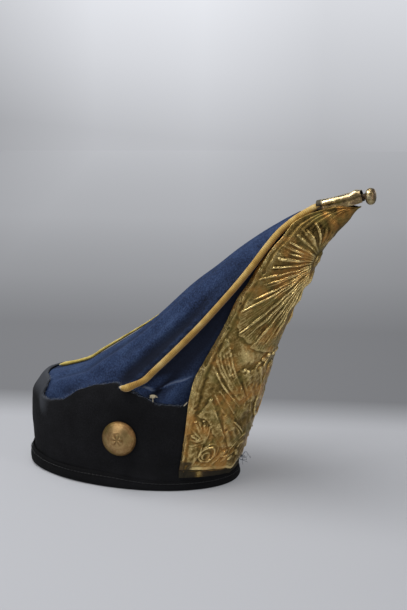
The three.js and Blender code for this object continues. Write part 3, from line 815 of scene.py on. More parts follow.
def add_cord(name, spots, radius, rib, sides, material, slot, node, seed, thin=0):
    """A cord covered in ribbed cloth, with ribs a few millimetres apart and a soft cut end."""
    rough = curve_through(spots, 200)
    length = np.linalg.norm(np.diff(rough, axis=0), axis=1).sum()
    path = curve_through(spots, int(length / (rib / 5)))
    along = np.linspace(0, length, len(path))
    wave = np.cos(2 * np.pi * along / rib + 0.8 * ripple(along[:, None], 20, seed))
    swell = 1 + 0.006 * wave + 0.03 * ripple(along[:, None], 14, seed + 1)
    closing = np.sqrt(np.clip(np.minimum(along, length - along) / (0.8 * radius), 0.04, 1))
    spread = 1 + 0.2 * ease(along, 18, 8) - 0.55 * ease(along, 8, 0) - thin * ease(along, 20, 130)
    shape = tube(path, radius * swell * spread * closing, sides)
    ribs = np.append(np.repeat(0.5 + 0.5 * wave, sides), [0.5, 0.5])
    # Painted shade on the cord's lower side, stronger further along it.
    drop = (np.repeat(path[:, 2], sides) - shape[0][:-2, 2]) / radius
    shadow = np.repeat(0.55 + 0.35 * ease(along, 40, 120), sides)
    under = np.append(shadow * ease(drop, -0.4, 0.6), [0, 0])
    cut = np.append(np.repeat(ease(along, 3.4, 0.6), sides), [1, 0])
    add_piece(name, shape, material, slot, [node], rib=ribs, cut=cut, under=under)


def add_piping():
    for name, side in SIDES:
        add_cord(f"ridge_cord_{name}", side_piping_path(side), PIPING_RADIUS, 1.6, 20, TAN_CORD, "tan_cord",
                 f"side_piping_{name}", 41)
    levels = np.array(BACK_LEVELS)
    out = BACK_PIPING_RADIUS + FIT_GAP + fold_rise(np.pi, levels) - seam_sink(levels)
    seam = body_point(np.pi, levels, out)
    add_cord("seam_cord", seam, BACK_PIPING_RADIUS, 1.4, 14, YELLOW_CORD, "yellow_cord", "back_piping", 45,
             thin=0.5)


# Front plate
FACE_COLUMNS = 205
EDGE_COLUMNS = 12
FACE_ROWS = 373
FOOT_ROWS = 18
BACK_STEP = 6
BOSS_UP = 221
BOSS_RADIUS = 9
PATCH_UP = 124
COPPER_STRIP = 0.72
TAB_START = 0.76
TAB_EDGE = 0.05
FACE_SLOPE = 1.12
# The share of the tip's bend that the ends of the turned edges follow
FLANGE_LIFT = 0.42
# How the old sheet is bent at its tip: its edges up or down, and its middle up or down and forward
TIP_BEND = Table(
    "up edge middle forward",
    (22, 0, 0, 0), (200, 0, 0, 0), (214, 2.4, 0, 0), (228, 4.4, 0, 0), (236, 5.2, 0, 0), (243, 5.2, 0, 2.5),
    (251, 4.8, 0, 3.3), (259, 4.4, 0, 3.3),
    (266, 2.6, -1, 2.5), (271, 0, -2.5, 1.5), (276, -5, -5, 0.5),
)
# Dips in the fold above the foot: how far from the middle, half width and depth
FOOT_DIPS = ((19, 6.5, 5.4), (32, 10, 3.2), (47, 8, 1))
COLLAR = ((26, 264), (18.8, 252.5), (8, 244), (0, 239))
BURST_EDGE = Table(
    "degrees reach",
    (0, 30), (25, 44), (40, 53), (53, 56), (74, 53), (85, 52), (97, 60), (112, 64), (121, 73),
    (131, 84), (139, 92), (152, 95.5), (161, 98.5), (180, 100),
)
# The first ray and the spread of them all, in degrees round the boss
RAY_FIRST = 22
RAY_SPREAD = 152
# Tiers of rays: how many, where they start, their share of the burst's reach, half width and height
RAY_TIERS = ((24, 7, 0.95, 1.7, 2.8), (24, 11, 0.76, 0.7, 1.5))
# All the places below are across and up on the face, for both sides alike.
# A bundle of staves runs between two edges.
BUNDLE_EDGES = (
    ((68.8, 152.5), (71.2, 143), (67.8, 131), (60.2, 116.5), (50.2, 102.5), (38.4, 90.5)),
    ((66.2, 151.2), (61.5, 142), (56.5, 132), (49, 115.5), (41, 103.5), (32.6, 92.2)),
)
BUNDLE_STAVES = 5
# Raised lines: places, then half the line's width and its height
LINES = (
    (((70.2, 126), (65, 117), (59.6, 108), (47.6, 94.5), (35.4, 83)), 0.9, 1.8),
    (((68, 124.5), (61.7, 111), (53, 101)), 0.6, 1.1),
    (((63, 98), (50, 79.5), (36, 68), (24, 60)), 1.0, 1.8),
    (((60, 101.5), (46, 85), (32.5, 70)), 0.8, 1.4),
    (((65.6, 93.5), (53.5, 73.2), (34.7, 41.5)), 0.9, 1.8),
    (((72, 77.5), (66, 74), (58.6, 68), (54, 58)), 0.7, 1.2),
    (((36, 68), (18, 51), (26.5, 43)), 0.9, 1.5),
    (((1.9, 118), (1.4, 103), (5.8, 92)), 1.3, 2.3),
    (((45, 120), (35, 108), (24, 92), (18, 76)), 0.9, 1.2),
    (((30, 121), (20, 106), (12, 88)), 0.8, 1.2),
    (((28.5, 39), (21.8, 46.5), (12, 52)), 0.9, 1.8),
    (((74, 47), (64, 47.8), (58, 51)), 0.9, 1.2),
    (((60, 47), (60, 36), (63, 27)), 0.9, 1.2),
    (((44, 28), (38, 33), (30, 33), (18, 36)), 0.9, 1.5),
)
# A spray of leaves from one base: tip, half width and height
SPRAY_BASE = (58, 49)
SPRAY = (
    (75.4, 66, 1.0, 1.3), (75, 59, 1.1, 1.4), (72.5, 53.5, 1.0, 1.2), (72, 71, 1.0, 1.5),
    (68.6, 70.5, 0.9, 1.3), (65, 72, 1.0, 1.6), (61.5, 70, 0.8, 1.2), (58.5, 69, 1.0, 1.5),
    (69, 48, 1.0, 1.1),
)
# Leaves: base, tip, half width and height
LEAVES = (
    *((*SPRAY_BASE, *leaf) for leaf in SPRAY),
    (41.5, 33, 31, 38.2, 2.0, 1.8),
    (36, 29, 29, 34, 1.8, 1.5), (28, 29.8, 22.5, 32.2, 1.7, 1.5), (20, 36, 12, 30, 1.9, 1.5),
    (18, 38, 9, 43, 1.9, 1.5), (24, 126, 30, 119, 1.6, 1.4), (12, 128, 20, 118, 1.6, 1.5),
)
# Flat cloths and panels: corners, height, softness of the edge, depth of the pleats and their way
CLOTHS = (
    (((72, 77.5), (65.6, 93.5), (60, 87), (53.3, 73), (34.7, 41.5), (38, 38.8), (54, 58), (58.6, 68),
      (66, 74)), 1.2, 0.9, 0.1, 62),
    (((50.5, 76.8), (45.5, 77), (36, 68), (18, 51), (26.5, 43), (32.3, 40), (42.3, 55)), 1.4, 0.9, 0.22, 50),
    (((59.6, 155.5), (40.4, 142), (28.6, 130), (30.5, 120.5), (46, 124), (54.4, 138)), 1.1, 7, 0, 0),
    (((46, 118), (30, 121), (10, 124), (3, 100), (8, 88), (26, 84), (38, 102)), 0.9, 2.5, 0.35, 56),
    (((74, 46), (64, 47), (59.5, 35), (62, 28), (71, 29)), 0.6, 1.5, 0, 0),
    (((54, 56), (47, 58), (36, 42), (44, 42), (50, 46)), 0.7, 2, 0, 0),
)
# Domes: place, half width, half height and height
DOMES = (
    (41.5, 120, 3, 2.2, 1.6), (37.5, 118.5, 2.6, 2, 1.9), (39.5, 116, 2, 1.6, 1.5), (68.8, 152, 2, 2.2, 2.3),
    (65.4, 93, 2, 2.2, 2.4), (72, 71, 1.4, 1.4, 2.0), (65, 72, 1.4, 1.4, 2.0), (58.5, 69, 1.4, 1.4, 2.0),
    (75.4, 66, 1.2, 1.3, 1.6), (19.6, 128, 4, 2.4, 2.2), (14, 131, 3.2, 2.6, 2.6),
    (5.3, 131.5, 3.4, 2.6, 2.5), (36, 61, 4.5, 3.4, 2.2), (26, 106, 7, 9, 1.2),
)
HOLLOW = {"across": 69.5, "up": 104, "wide": 5.5, "tall": 16, "depth": 1.5}
# Rings: place, radius, half width and height
RINGS = ((52.6, 37, 7.2, 1.0, 1.5), (50.6, 39.4, 8, 0.8, 1.0), (53.2, 35.4, 3.4, 0.9, 0.8))
SHIELD = {"up": 94, "half": 13, "tall": 26, "rim": 1.4, "height": 1.8}
# Small holes where the plate was sewn on
HOLES = ((75.2, 84.5), (42, 61), (69, 163), (74, 57), (66, 186), (56, 212), (67, 25.5))


def face_half(up):
    """Half the width of the plate's face, measured along the sheet."""
    depth = PLATE("middle", up) - PLATE("corner", up)
    return ARC_TO_CHORD * np.hypot(PLATE("half", up), depth)


def face_spot(across, up):
    """A point on the smooth face, from its way across the sheet and up."""
    turn = FACE_ARC * across / face_half(up)
    middle = PLATE("middle", up)
    depth = middle - PLATE("corner", up)
    forward = middle - depth * (1 - np.cos(turn)) / (1 - np.cos(FACE_ARC))
    return spots_of(PLATE("half", up) * np.sin(turn) / np.sin(FACE_ARC), -forward, up)


def burst(side, up):
    """A burst of rays in two tiers round a rough boss, on a field with a straight step at its lower edge."""
    draw = np.random.default_rng(51)
    ahead = (up - BOSS_UP) * FACE_SLOPE
    radius = np.hypot(side, ahead)
    degrees = np.degrees(np.arctan2(side, ahead))
    reach = BURST_EDGE("reach", degrees)
    ragged = reach + 1.2 * ripple(spots_of(side, up), 5, 53)
    field = ease(radius, ragged, ragged - 0.9) * ease(degrees, 116, 134)
    streaks = ease(radius, reach, reach - 5) * ease(radius, 12, 24)
    streaks *= np.cos(degrees * 3.4 + np.cos(degrees * 0.9))
    height = 0.8 * field + 0.17 * streaks
    worn = 1 + 0.3 * ripple(spots_of(side, up), 8, 52)
    for tier, (count, start, share, width, tall) in enumerate(RAY_TIERS):
        for i in range(count):
            centre = RAY_FIRST + RAY_SPREAD * (i + 0.5 * tier) / count + draw.normal(0, 1.6)
            end = BURST_EDGE("reach", np.array(centre)) * (share + draw.uniform(-0.15, 0.05))
            off = np.abs(radius * np.radians(degrees - centre))
            half = 0.5 + width * draw.uniform(0.6, 1.0) * np.clip(radius / end, 0, 1)
            half = half * (1 - 0.75 * ease(radius, 0.8 * end, end))
            ridge = np.clip(1 - (off / half) ** 2, 0, 1) ** 0.7
            ridge *= ease(radius, start, start + 12) * ease(radius, end + 0.4, end - 1.4) * worn
            ridge *= 1 - 0.2 * ease(radius, 0.6 * end, end)
            tall_here = tall * draw.uniform(0.6, 1.1) * (0.5 + 0.5 * ease(centre, 35, 75))
            height = np.maximum(height, 0.7 * field + tall_here * ridge)
    dome = np.sqrt(np.clip(1 - (radius / BOSS_RADIUS) ** 2, 0, 1))
    boss = dome * (1.8 + 0.3 * np.cos(degrees * 0.66) + 0.5 * ripple(spots_of(side, up), 3.5, 69))
    off, _ = line_fields(side, up, COLLAR, 9)
    return np.maximum(np.maximum(height, boss), 0.9 * bell(off, 0, 3))


def line_fields(side, up, spots, reach):
    """How far each place lies off a smooth line, and how far along it, as a share of its length."""
    line = curve_through(spots, 60)
    low, high = line.min(0) - reach, line.max(0) + reach
    near = (side > low[0]) & (side < high[0]) & (up > low[1]) & (up < high[1])
    gaps = spots_of(side[near], up[near])[:, None] - line
    distances = np.linalg.norm(gaps, axis=-1)
    nearest = distances.argmin(1)
    off = np.full(side.shape, 1e3)
    along = np.zeros(side.shape)
    off[near] = distances.min(1)
    along[near] = nearest / (len(line) - 1)
    return off, along


def inside(side, up, corners):
    """How far each place lies inside a shape with the given corners, and below nought outside it."""
    corners = np.array(corners, float)
    spots = spots_of(side, up)
    odd = np.zeros(side.shape, bool)
    nearest = np.full(side.shape, np.inf)
    for start, end in zip(corners, np.roll(corners, -1, axis=0)):
        way = end - start
        share = np.clip((spots - start) @ way / way.dot(way), 0, 1)
        nearest = np.minimum(nearest, np.linalg.norm(spots - start - share[..., None] * way, axis=-1))
        crosses = (start[1] > up) != (end[1] > up)
        level = np.where(crosses, (up - start[1]) / (way[1] if way[1] else 1), 0)
        odd ^= crosses & (side < start[0] + level * way[0])
    return np.where(odd, nearest, -nearest)


def round_ridge(off, half, tall):
    """The height of a round ridge at a distance off its middle."""
    return tall * np.sqrt(np.clip(1 - (off / half) ** 2, 0, 1))


def trophies(side, up):
    """Flags, staves, leaves and rings, raised in low relief on both sides of a plain oval shield."""
    spots = spots_of(side, up)
    uneven = 0.85 + 0.35 * ripple(spots, 6, 76)
    height = 0 * side
    for corners, tall, soft, pleat, way in CLOTHS:
        depth = inside(side, up, corners)
        across_pleats = side * np.sin(np.radians(way)) - up * np.cos(np.radians(way))
        pleats = 1 + pleat * np.sin(across_pleats * 0.9 + ripple(spots, 18, 60))
        height = np.maximum(height, tall * pleats * ease(depth, 0, soft))
    first, last = (np.array(edge) for edge in BUNDLE_EDGES)
    for share in np.linspace(0, 1, BUNDLE_STAVES):
        off, _ = line_fields(side, up, first + (last - first) * share, 4)
        height = np.maximum(height, round_ridge(off, 1.3, 1.2) * (1 + 0.3 * ripple(spots, 2.4, 70)))
    for line, half, tall in LINES:
        off, along = line_fields(side, up, line, 4)
        taper = 0.45 + 0.55 * np.sin(np.pi * np.clip(along, 0.02, 0.98)) ** 0.5
        height = np.maximum(height, round_ridge(off, half * taper, tall) * uneven)
    for across, low, tip_across, tip, half, tall in LEAVES:
        off, along = line_fields(side, up, ((across, low), (tip_across, tip)), 4)
        width = half * np.sin(np.pi * np.clip(along, 0.08, 0.97)) ** 0.7
        vein = 1 - 0.3 * bell(off, 0, 0.4)
        height = np.maximum(height, round_ridge(off, width, tall) * vein * uneven)
    for across, level, wide, high, tall in DOMES:
        gap = ((side - across) / wide) ** 2 + ((up - level) / high) ** 2
        height = np.maximum(height, tall * np.sqrt(np.clip(1 - gap, 0, 1)))
    for across, level, radius, half, tall in RINGS:
        off = np.hypot(side - across, up - level) - radius
        height = np.maximum(height, round_ridge(off, half, tall))
    share = np.hypot(side / SHIELD["half"], (up - SHIELD["up"]) / SHIELD["tall"])
    off = (share - 1) * SHIELD["half"]
    height = np.where(share < 1, 0.8 * (1 - share ** 2) + 0.3, height)
    height = np.maximum(height, round_ridge(off, SHIELD["rim"], SHIELD["height"]))
    gap = np.hypot((side - HOLLOW["across"]) / HOLLOW["wide"], (up - HOLLOW["up"]) / HOLLOW["tall"])
    return height - HOLLOW["depth"] * ease(gap, 1.1, 0.2)


def creases(spots, size, seed):
    """Sharp-crested noise, like creased foil."""
    return 0.5 - np.abs(ripple(spots, size, seed))


def plain_panel(side, up):
    """How far a place belongs to the smooth panel between the burst and the trophies."""
    return bell(side, 43, 14) * bell(up, 138, 13)


def plate_relief(across, up):
    """How far the embossed face stands out from the smooth sheet."""
    side = np.abs(across)
    spots = spots_of(across, up)
    dents = 0.5 * ripple(spots, 30, 61) + 0.2 * ripple(spots, 9, 62)
    lower = ease(up, 172, 158)
    crumple = 0.45 * creases(spots, 15, 64) + 0.35 * creases(spots, 5.5, 67) + 0.16 * creases(spots, 2.8, 77)
    crumple *= 0.4 + 0.6 * lower
    crumple *= 1 - 0.8 * plain_panel(side, up)
    drawn = spots_of(70 * across / face_half(up), 0.12 * up)
    crumple = crumple + 0.45 * creases(drawn, 5, 63) * ease(up, 234, 246)
    figures = np.maximum(0.85 * trophies(side, up) * lower, burst(side, up)) + crumple
    inset = face_half(up) - side
    border = ease(inset, 2.0, 4.2)
    bead = 0.2 * bell(inset, 0.6, 0.8) + 0.35 * creases(spots, 5, 75) * (1 - border)
    groove = 0.7 * bell(inset, 3.4, 1.6)
    return figures * border + bead - groove + dents * (0.4 + 0.6 * border)


def tip_bend(share, up):
    """How far the old sheet is bent at its tip, by its share of the way out from the middle."""
    middle = TIP_BEND("middle", up)
    rise = middle + (TIP_BEND("edge", up) - middle) * share ** 2
    return spots_of(0, -TIP_BEND("forward", up) * (1 - share ** 2), rise)


def plate_base():
    """The smooth sheet: the face, the edges turned back at its sides, and the foot turned in below."""
    up = np.linspace(FACE_BOTTOM, FACE_TOP, FACE_ROWS)[:, None]
    share = np.linspace(-1, 1, FACE_COLUMNS)
    across = share * face_half(up)
    face = face_spot(across, up) + tip_bend(share, up)
    band_out = FIT_GAP + BAND_WALL + FLANGE_CLEARANCE
    out = band_out + (FLANGE_CLEARANCE - band_out) * ease(up, 94, 108)
    corner = PLATE("corner", up)
    flange = PLATE("flange", up)
    turned_share = np.linspace(0, 1, EDGE_COLUMNS + 1)[1:]
    sides = {}
    for side, edge in ((-1, face[:, :1]), (1, face[:, -1:])):
        end = body_point(side * angle_at_forward(corner - flange, up), up, out)
        end[..., 2] += FLANGE_LIFT * TIP_BEND("edge", up)
        sides[side] = edge + (end - edge) * turned_share[:, None]
    upper = np.concatenate([sides[-1][:, ::-1], face, sides[1]], axis=1)
    forward = np.concatenate([
        corner[0] - flange[0] * turned_share[::-1],
        np.full(FACE_COLUMNS, corner[0, 0]),
        corner[0] - flange[0] * turned_share,
    ])
    columns = np.concatenate([np.full(EDGE_COLUMNS, -1), share, np.full(EDGE_COLUMNS, 1)])
    angle = columns * angle_at_forward(forward, FACE_BOTTOM)
    on_face = np.abs(columns) < 1
    foot_out = FIT_GAP + BAND_WALL + np.where(on_face, FOOT_CLEARANCE, FLANGE_CLEARANCE)
    foot_top = body_point(angle, FOOT_TOP + 0 * angle, foot_out)
    foot_end = body_point(angle, FOOT_BOTTOM + 0 * angle, foot_out)
    fall = np.linspace(0, 2, FOOT_ROWS + 1)[:0:-1, None, None]
    first = upper[0] + (foot_top - upper[0]) * np.clip(fall, 0, 1)
    foot = first + (foot_end - foot_top) * np.clip(fall - 1, 0, 1)
    base = np.concatenate([foot, upper])
    from_middle = np.abs(columns) * face_half(FACE_BOTTOM)
    dips = sum(depth * bell(from_middle, place, wide) for place, wide, depth in FOOT_DIPS)
    base[..., 2] -= dips * np.concatenate([1 - 0.3 * fall[..., 0], ease(up, 40, 22)])
    return base


def blurred(values, passes):
    """A grid of values, softened by a number of passes over its neighbours."""
    for _ in range(passes):
        for axis in (0, 1):
            padded = np.pad(values, 1, mode="edge")
            near = np.roll(padded, 1, axis) + np.roll(padded, -1, axis)
            values = (0.5 * padded + 0.25 * near)[1:-1, 1:-1]
    return values


def sheet_shape(front, back):
    """A thin sheet with a fine front and a coarser back, joined all round its edge."""
    rows, columns = front.shape[:2]
    back_rows, back_columns = back.shape[:2]
    first = rows * columns
    faces = grid_faces(rows, columns).tolist()
    faces += grid_faces(back_rows, back_columns, start=first)[:, ::-1].tolist()
    fine = np.arange(first).reshape(rows, columns)
    coarse = first + np.arange(back_rows * back_columns).reshape(back_rows, back_columns)
    sides = (
        (fine[0][::-1], coarse[0][::-1]), (fine[:, -1][::-1], coarse[:, -1][::-1]),
        (fine[-1], coarse[-1]), (fine[:, 0], coarse[:, 0]),
    )
    for fine_line, coarse_line in sides:
        for i in range(len(coarse_line) - 1):
            run = fine_line[i * BACK_STEP:(i + 1) * BACK_STEP + 1]
            faces.append([*run.tolist(), int(coarse_line[i + 1]), int(coarse_line[i])])
    return np.concatenate([front.reshape(-1, 3), back.reshape(-1, 3)]), faces


def foot_stain(base, from_middle):
    """How dark the foot is: grimy and in painted shade under the face's ledge, with a strip of bare copper,
    and a stained tab at each end.
    """
    stain = np.zeros(base.shape[:2])
    foot = np.s_[:FOOT_ROWS - 1]
    grime = 1.04 + 0.12 * ripple(base[foot], 16, 68)
    stain[foot] = np.clip(grime - bell(from_middle, COPPER_STRIP, 0.03), 0, 0.97)
    tab = ease(from_middle, TAB_START, TAB_START + TAB_EDGE)
    tab = tab * ease(np.arange(len(base)), FOOT_ROWS + 15, FOOT_ROWS + 10)[:, None]
    return np.maximum(stain, 0.84 * tab)


def plate_crest(relief, from_middle):
    """How far each place is a rubbed ridge with painted highlight rather than a tarnished hollow with
    painted shade.
    """
    fine = relief - blurred(relief, 6)
    crest = 0.52 + 0.2 * np.maximum(fine, 0) + 0.42 * np.minimum(fine, 0)
    crest += 0.13 * (relief - blurred(relief, 60))
    # Painted highlight along the fold above the foot, between the tabs, and the turned edges lighter towards
    # their rims.
    fold = ease(np.abs(np.arange(len(relief))[:, None] - FOOT_ROWS - 1), 3, 1)
    crest += 0.4 * fold * ease(from_middle, TAB_START + TAB_EDGE, TAB_START)
    return crest + (0.09 * ease(from_middle, 0.895, 0.91) + 0.2 * ease(from_middle, 0.985, 1.0))


def add_front_plate():
    """The embossed sheet, with its holes, its stains, its rubbed ridges, and painted highlights and painted
    shade.
    """
    base = plate_base()
    columns = base.shape[1]
    normals = grid_normals(base)
    up = np.linspace(FACE_BOTTOM, FACE_TOP, FACE_ROWS)[:, None]
    across, up = np.broadcast_arrays(np.linspace(-1, 1, FACE_COLUMNS) * face_half(up), up)
    face = np.s_[FOOT_ROWS:, EDGE_COLUMNS:EDGE_COLUMNS + FACE_COLUMNS]
    from_middle = np.abs(np.arange(columns) - (columns - 1) / 2) / (columns / 2)
    relief = 0.25 * ripple(base, 14, 65) + 0.2 * creases(base, 6, 66)
    relief += 0.9 * bell(base[..., 2], PATCH_UP, 1.4)
    relief[face] = plate_relief(across, up)
    stain = foot_stain(base, from_middle)
    for hole_across, hole_up in HOLES:
        gap = np.hypot(np.abs(across) - hole_across, up - hole_up)
        # Each hole is a dip painted dark, as painted shade inside it.
        relief[face] -= 1.2 * ease(gap, 1.5, 0.7)
        stain[face] = np.maximum(stain[face], ease(gap, 1.7, 0.8))
    crest = plate_crest(relief, from_middle)
    crest[face] += 0.1 * plain_panel(np.abs(across), up) - 0.15 * ease(up, 236, 250)
    front = base + normals * relief[..., None]
    back = (base - normals * SHEET + normals * blurred(relief, 12)[..., None])[::BACK_STEP, ::BACK_STEP]
    shape = sheet_shape(front, back)
    crest = filled(np.clip(crest, 0, 1), shape, 0.4)
    stain = filled(stain, shape, 0.3)
    add_piece("embossed_plate", shape, PLATE_BRASS, "aged_brass", ["front_plate"], crest=crest, stain=stain)


# Clip and knob at the tip
CLIP = {
    "forward": 184.1, "up": 267, "slope": 17, "length": 41,
    "half": 7.2, "height": 7.6, "shoulder": 3.6, "wall": 0.6,
}
# How far the clip's legs reach down, along its length
CLIP_LEGS = Table("along reach", (0, 0), (12, 1.5), (25, 3.5), (35, 3.6), (41, 3.2))
# The length of the clip's open back end, painted dark as painted shade in the opening; the clip narrows
# there too.
CLIP_TARNISH = 5
CLIP_ROWS = 61
ARCH_POINTS = 45
LEG_POINTS = 8
KNOB = {"forward": 219.7, "up": 280.1, "slope": 4, "sides": 56}
KNOB_PROFILE = (
    (0, 0), (3.2, 0), (2.8, 1.6), (2.6, 4.8), (3.4, 6.2), (5.6, 7.0), (7.0, 8.6),
    (7.4, 10.6), (6.9, 12.8), (5.0, 14.6), (0, 15.4),
)


def laid_forward(points, forward, up, slope):
    """Points made along z, with y up, laid forward over the tip at a slope."""
    turn = np.array(Matrix.Rotation(np.radians(90 - slope), 3, "X"))
    return points @ turn.T + (0, -forward, up)


def add_tip_clip():
    half, height, shoulder = CLIP["half"], CLIP["height"], CLIP["shoulder"]
    turn = np.linspace(0, np.pi, ARCH_POINTS)
    arch = np.stack([half * np.cos(turn), shoulder + (height - shoulder) * np.sin(turn) ** 0.8], -1)
    rise = np.linspace(0, shoulder, LEG_POINTS, endpoint=False)
    right = np.stack([np.full(LEG_POINTS, half), rise], -1)
    line = np.concatenate([right, arch, right[::-1] * (-1, 1)])
    outward = unit(np.stack([line[:, 0] / half, np.clip(line[:, 1] - shoulder, 0, None) / height], -1))
    along = np.linspace(0, CLIP["length"], CLIP_ROWS)[:, None]
    narrow = 1 - 0.2 * ease(along, 30, CLIP["length"]) - 0.08 * ease(along, CLIP_TARNISH + 1, CLIP_TARNISH)
    legs = CLIP_LEGS("reach", along) * ease(line[:, 1], shoulder, 0)
    curl = 1.3 * bell(along, 36, 3) * line[:, 1] / height
    spots = spots_of(line[:, 0], line[:, 1], along)
    dents = 0.3 * ripple(spots, 13, 71) + 0.25 * creases(spots, 7, 72)
    out = dents - 0.6 * bell(line[:, 1], 2.6, 0.7)
    sheets = []
    for depth in (0, CLIP["wall"]):
        flat = outward * (out - depth)[..., None]
        across = line[:, 0] * narrow + flat[..., 0]
        sheets.append(spots_of(across, line[:, 1] + (curl - legs) + flat[..., 1], along))
    points = np.concatenate([sheet.reshape(-1, 3) for sheet in sheets])
    points = laid_forward(points, CLIP["forward"], CLIP["up"], CLIP["slope"])
    rows, columns = out.shape
    first = rows * columns
    index = np.arange(first).reshape(rows, columns)
    rim = np.concatenate([index[0], index[1:, -1], index[-1, -2::-1], index[-2:0:-1, 0]])
    faces = grid_faces(rows, columns)[:, ::-1].tolist()
    faces += grid_faces(rows, columns, start=first).tolist()
    faces += strip(rim, rim + first)
    shape = points, faces
    # Lighter on its bumps, with painted highlight along the top of its arch.
    crest = 0.5 + 0.4 * out + 0.3 * ease(line[:, 1], 0.6 * height, height)
    crest = filled(np.clip(crest, 0, 1), shape, 0.2)
    # Painted shade on the open back end, and on the whole inner sheet inside the clip.
    stain = 0.92 * ease(along, CLIP_TARNISH + 0.5, CLIP_TARNISH - 0.5) + 0 * out
    stain = filled(stain, shape, 0.9)
    add_piece("folded_clip", shape, TIP_BRASS, "aged_brass", ["tip_clip"], crest=crest, stain=stain)


def add_tip_knob():
    grid, ends = turned(KNOB_PROFILE, KNOB["sides"])
    dents = 0.22 * ripple(grid, 6, 73) + 0.07 * ripple(grid, 2, 74)
    # Lighter on its bumps; the stem darkened as painted shade under the ball, and a dark spot on each side
    # of the ball.
    crest = np.append(np.clip(0.5 + 1.4 * dents - 0.4 * ease(grid[..., 2], 8, 6), 0, 1).ravel(), [0.1, 0.5])
    spot = bell(grid[..., 1], 0, 2.2) * bell(grid[..., 2], 10.6, 2)
    stain = np.append(np.maximum(0.5 * ease(grid[..., 2], 8.2, 6.5), 0.75 * spot).ravel(), [0.5, 0])
    grid = grid * (1 + 0.18 * dents[..., None] * np.array([1, 1, 0]))
    points, faces = capped(grid, ends)
    points = laid_forward(points, KNOB["forward"], KNOB["up"], KNOB["slope"])
    add_piece("tip_ball", (points, faces), TIP_BRASS, "aged_brass", ["tip_knob"], crest=crest, stain=stain)


# Buttons on the band
BUTTON_SIDES = 96
BUTTON_PROFILE = (
    (0, 8), (3, 7.8), (6, 7.2), (8.5, 6.4), (11, 5.2), (13.2, 3.8), (15, 2.4), (16.2, 1.4), (16.6, 0.8),
    (16.3, 0.2), (15.6, 0), (14.6, 0.4), (12.5, 2.2), (8, 3.8), (0, 4.6),
)
PETALS = 6
ROSETTE_RADIUS = 6.2
# Raised rings: radius, half width and height
BUTTON_RINGS = ((7.4, 0.6, 0.25), (14.6, 0.5, 0.2))
# The button hangs on its shank a little proud of the band, turned to the front and up
BUTTON_LIFT = 1.6
BUTTON_TURN = 6
BUTTON_TILT = 4


def add_buttons():
    grid, ends = turned(BUTTON_PROFILE[::-1], BUTTON_SIDES)
    radius = np.hypot(grid[..., 0], grid[..., 1])
    turn = np.arctan2(grid[..., 1], grid[..., 0])
    on_front = np.arange(grid.shape[0])[:, None] > 0.42 * grid.shape[0]
    petal = np.cos(PETALS * turn) * np.sin(np.pi * np.clip(radius / ROSETTE_RADIUS, 0, 1))
    ring = sum(tall * bell(radius, place, wide) for place, wide, tall in BUTTON_RINGS)
    rosette = 0.3 * petal * (radius < ROSETTE_RADIUS)
    lift = np.where(on_front, rosette + ring + 0.04 * ripple(grid, 3, 81), 0)
    grid[..., 2] += lift
    crest = np.where(on_front, 0.66 + 0.6 * lift - 0.3 * ease(radius, 12, 16.5), 0.3)
    crest = np.append(np.clip(crest, 0, 1).ravel(), [0.3, 0.6])
    points, faces = capped(grid, ends)
    for name, side in SIDES:
        angle = side * angle_at_forward(BUTTON_FORWARD, BUTTON_UP)
        seat = body_point(angle, np.array(float(BUTTON_UP)), np.array(2 * FIT_GAP + BAND_WALL + BUTTON_LIFT))
        forward_turn = Matrix.Rotation(np.radians(-side * BUTTON_TURN), 3, "Z")
        upright = forward_turn @ Matrix.Rotation(np.radians(side * (90 - BUTTON_TILT)), 3, "Y")
        shape = points @ np.array(upright).T + seat, faces
        add_piece(f"domed_button_{name}", shape, BUTTON_BRASS, "button_brass", [f"side_button_{name}"],
                  crest=crest, stain=0 * crest)


# Loose threads
STRANDS = 9
KNOT_UP = 95
KNOT_OUT = 4.4


def add_threads():
    """The knot at the gathers, a stray end beside the plate, and the tangle at the plate's foot."""
    draw = np.random.default_rng(91)
    angle = -np.radians(GATHER_DEGREES)
    knot = body_point(angle, np.array([float(KNOT_UP)]), np.array([KNOT_OUT]))[0]
    strands = []
    for _ in range(STRANDS):
        spots = knot + draw.normal(0, 1, (5, 3)) * (0.8, 1.7, 0.8)
        strands.append(tube(curve_through(spots, 16), 0.28, 5))
    tail_out = np.array([KNOT_OUT, KNOT_OUT, 3.6])
    tail = body_point(angle + np.radians((0, 1, 2)), np.array([KNOT_UP, 92.5, 89.5]), tail_out)
    stray_out = np.array([3.5, 4.2, 4.4])
    stray = body_point(-np.radians((57.5, 57, 56.6)), np.array([86.6, 88.5, 90.6]), stray_out)
    strands += [tube(curve_through(path, 12), 0.42, 6) for path in (tail, stray)]
    add_piece("gather_knot", joined(strands), CREAM_THREAD, "tan_cord")
    foot = face_spot(np.array([-3.0]), np.array([25.0]))[0] + (0, -1.5, -1)
    tangle = []
    for _ in range(STRANDS):
        reach = draw.uniform(4, 11)
        way = unit(draw.normal(0, 1, 3) * (0.6, 0.5, 0.9) + (0, -0.9, 0))
        bend = draw.normal(0, 0.25, (4, 3))
        bend[0] = 0
        spots = foot + (np.linspace(0, 1, 4)[:, None] * way + bend) * reach
        tangle.append(tube(curve_through(spots, 18), 0.17, 4))
    add_piece("foot_threads", joined(tangle), PALE_THREAD, "blue_cloth")


add_crown()
add_headband()
add_edge_fibres()
add_rim_binding()
add_piping()
add_front_plate()
add_tip_clip()
add_tip_knob()
add_buttons()
add_threads()

# Floor, backdrop, light and camera
FLOOR_GREY = (0.39, 0.395, 0.415)
WALL_GREY = (0.02, 0.02, 0.022)
FLOOR_GLOW = 0.14
FLOOR_END = 1199
FLOOR_FADE = 88
FLOOR_TURN = -6.6
WALL_START = 4000
WALL_TOP = 5000
STAGE_HALF = 5000
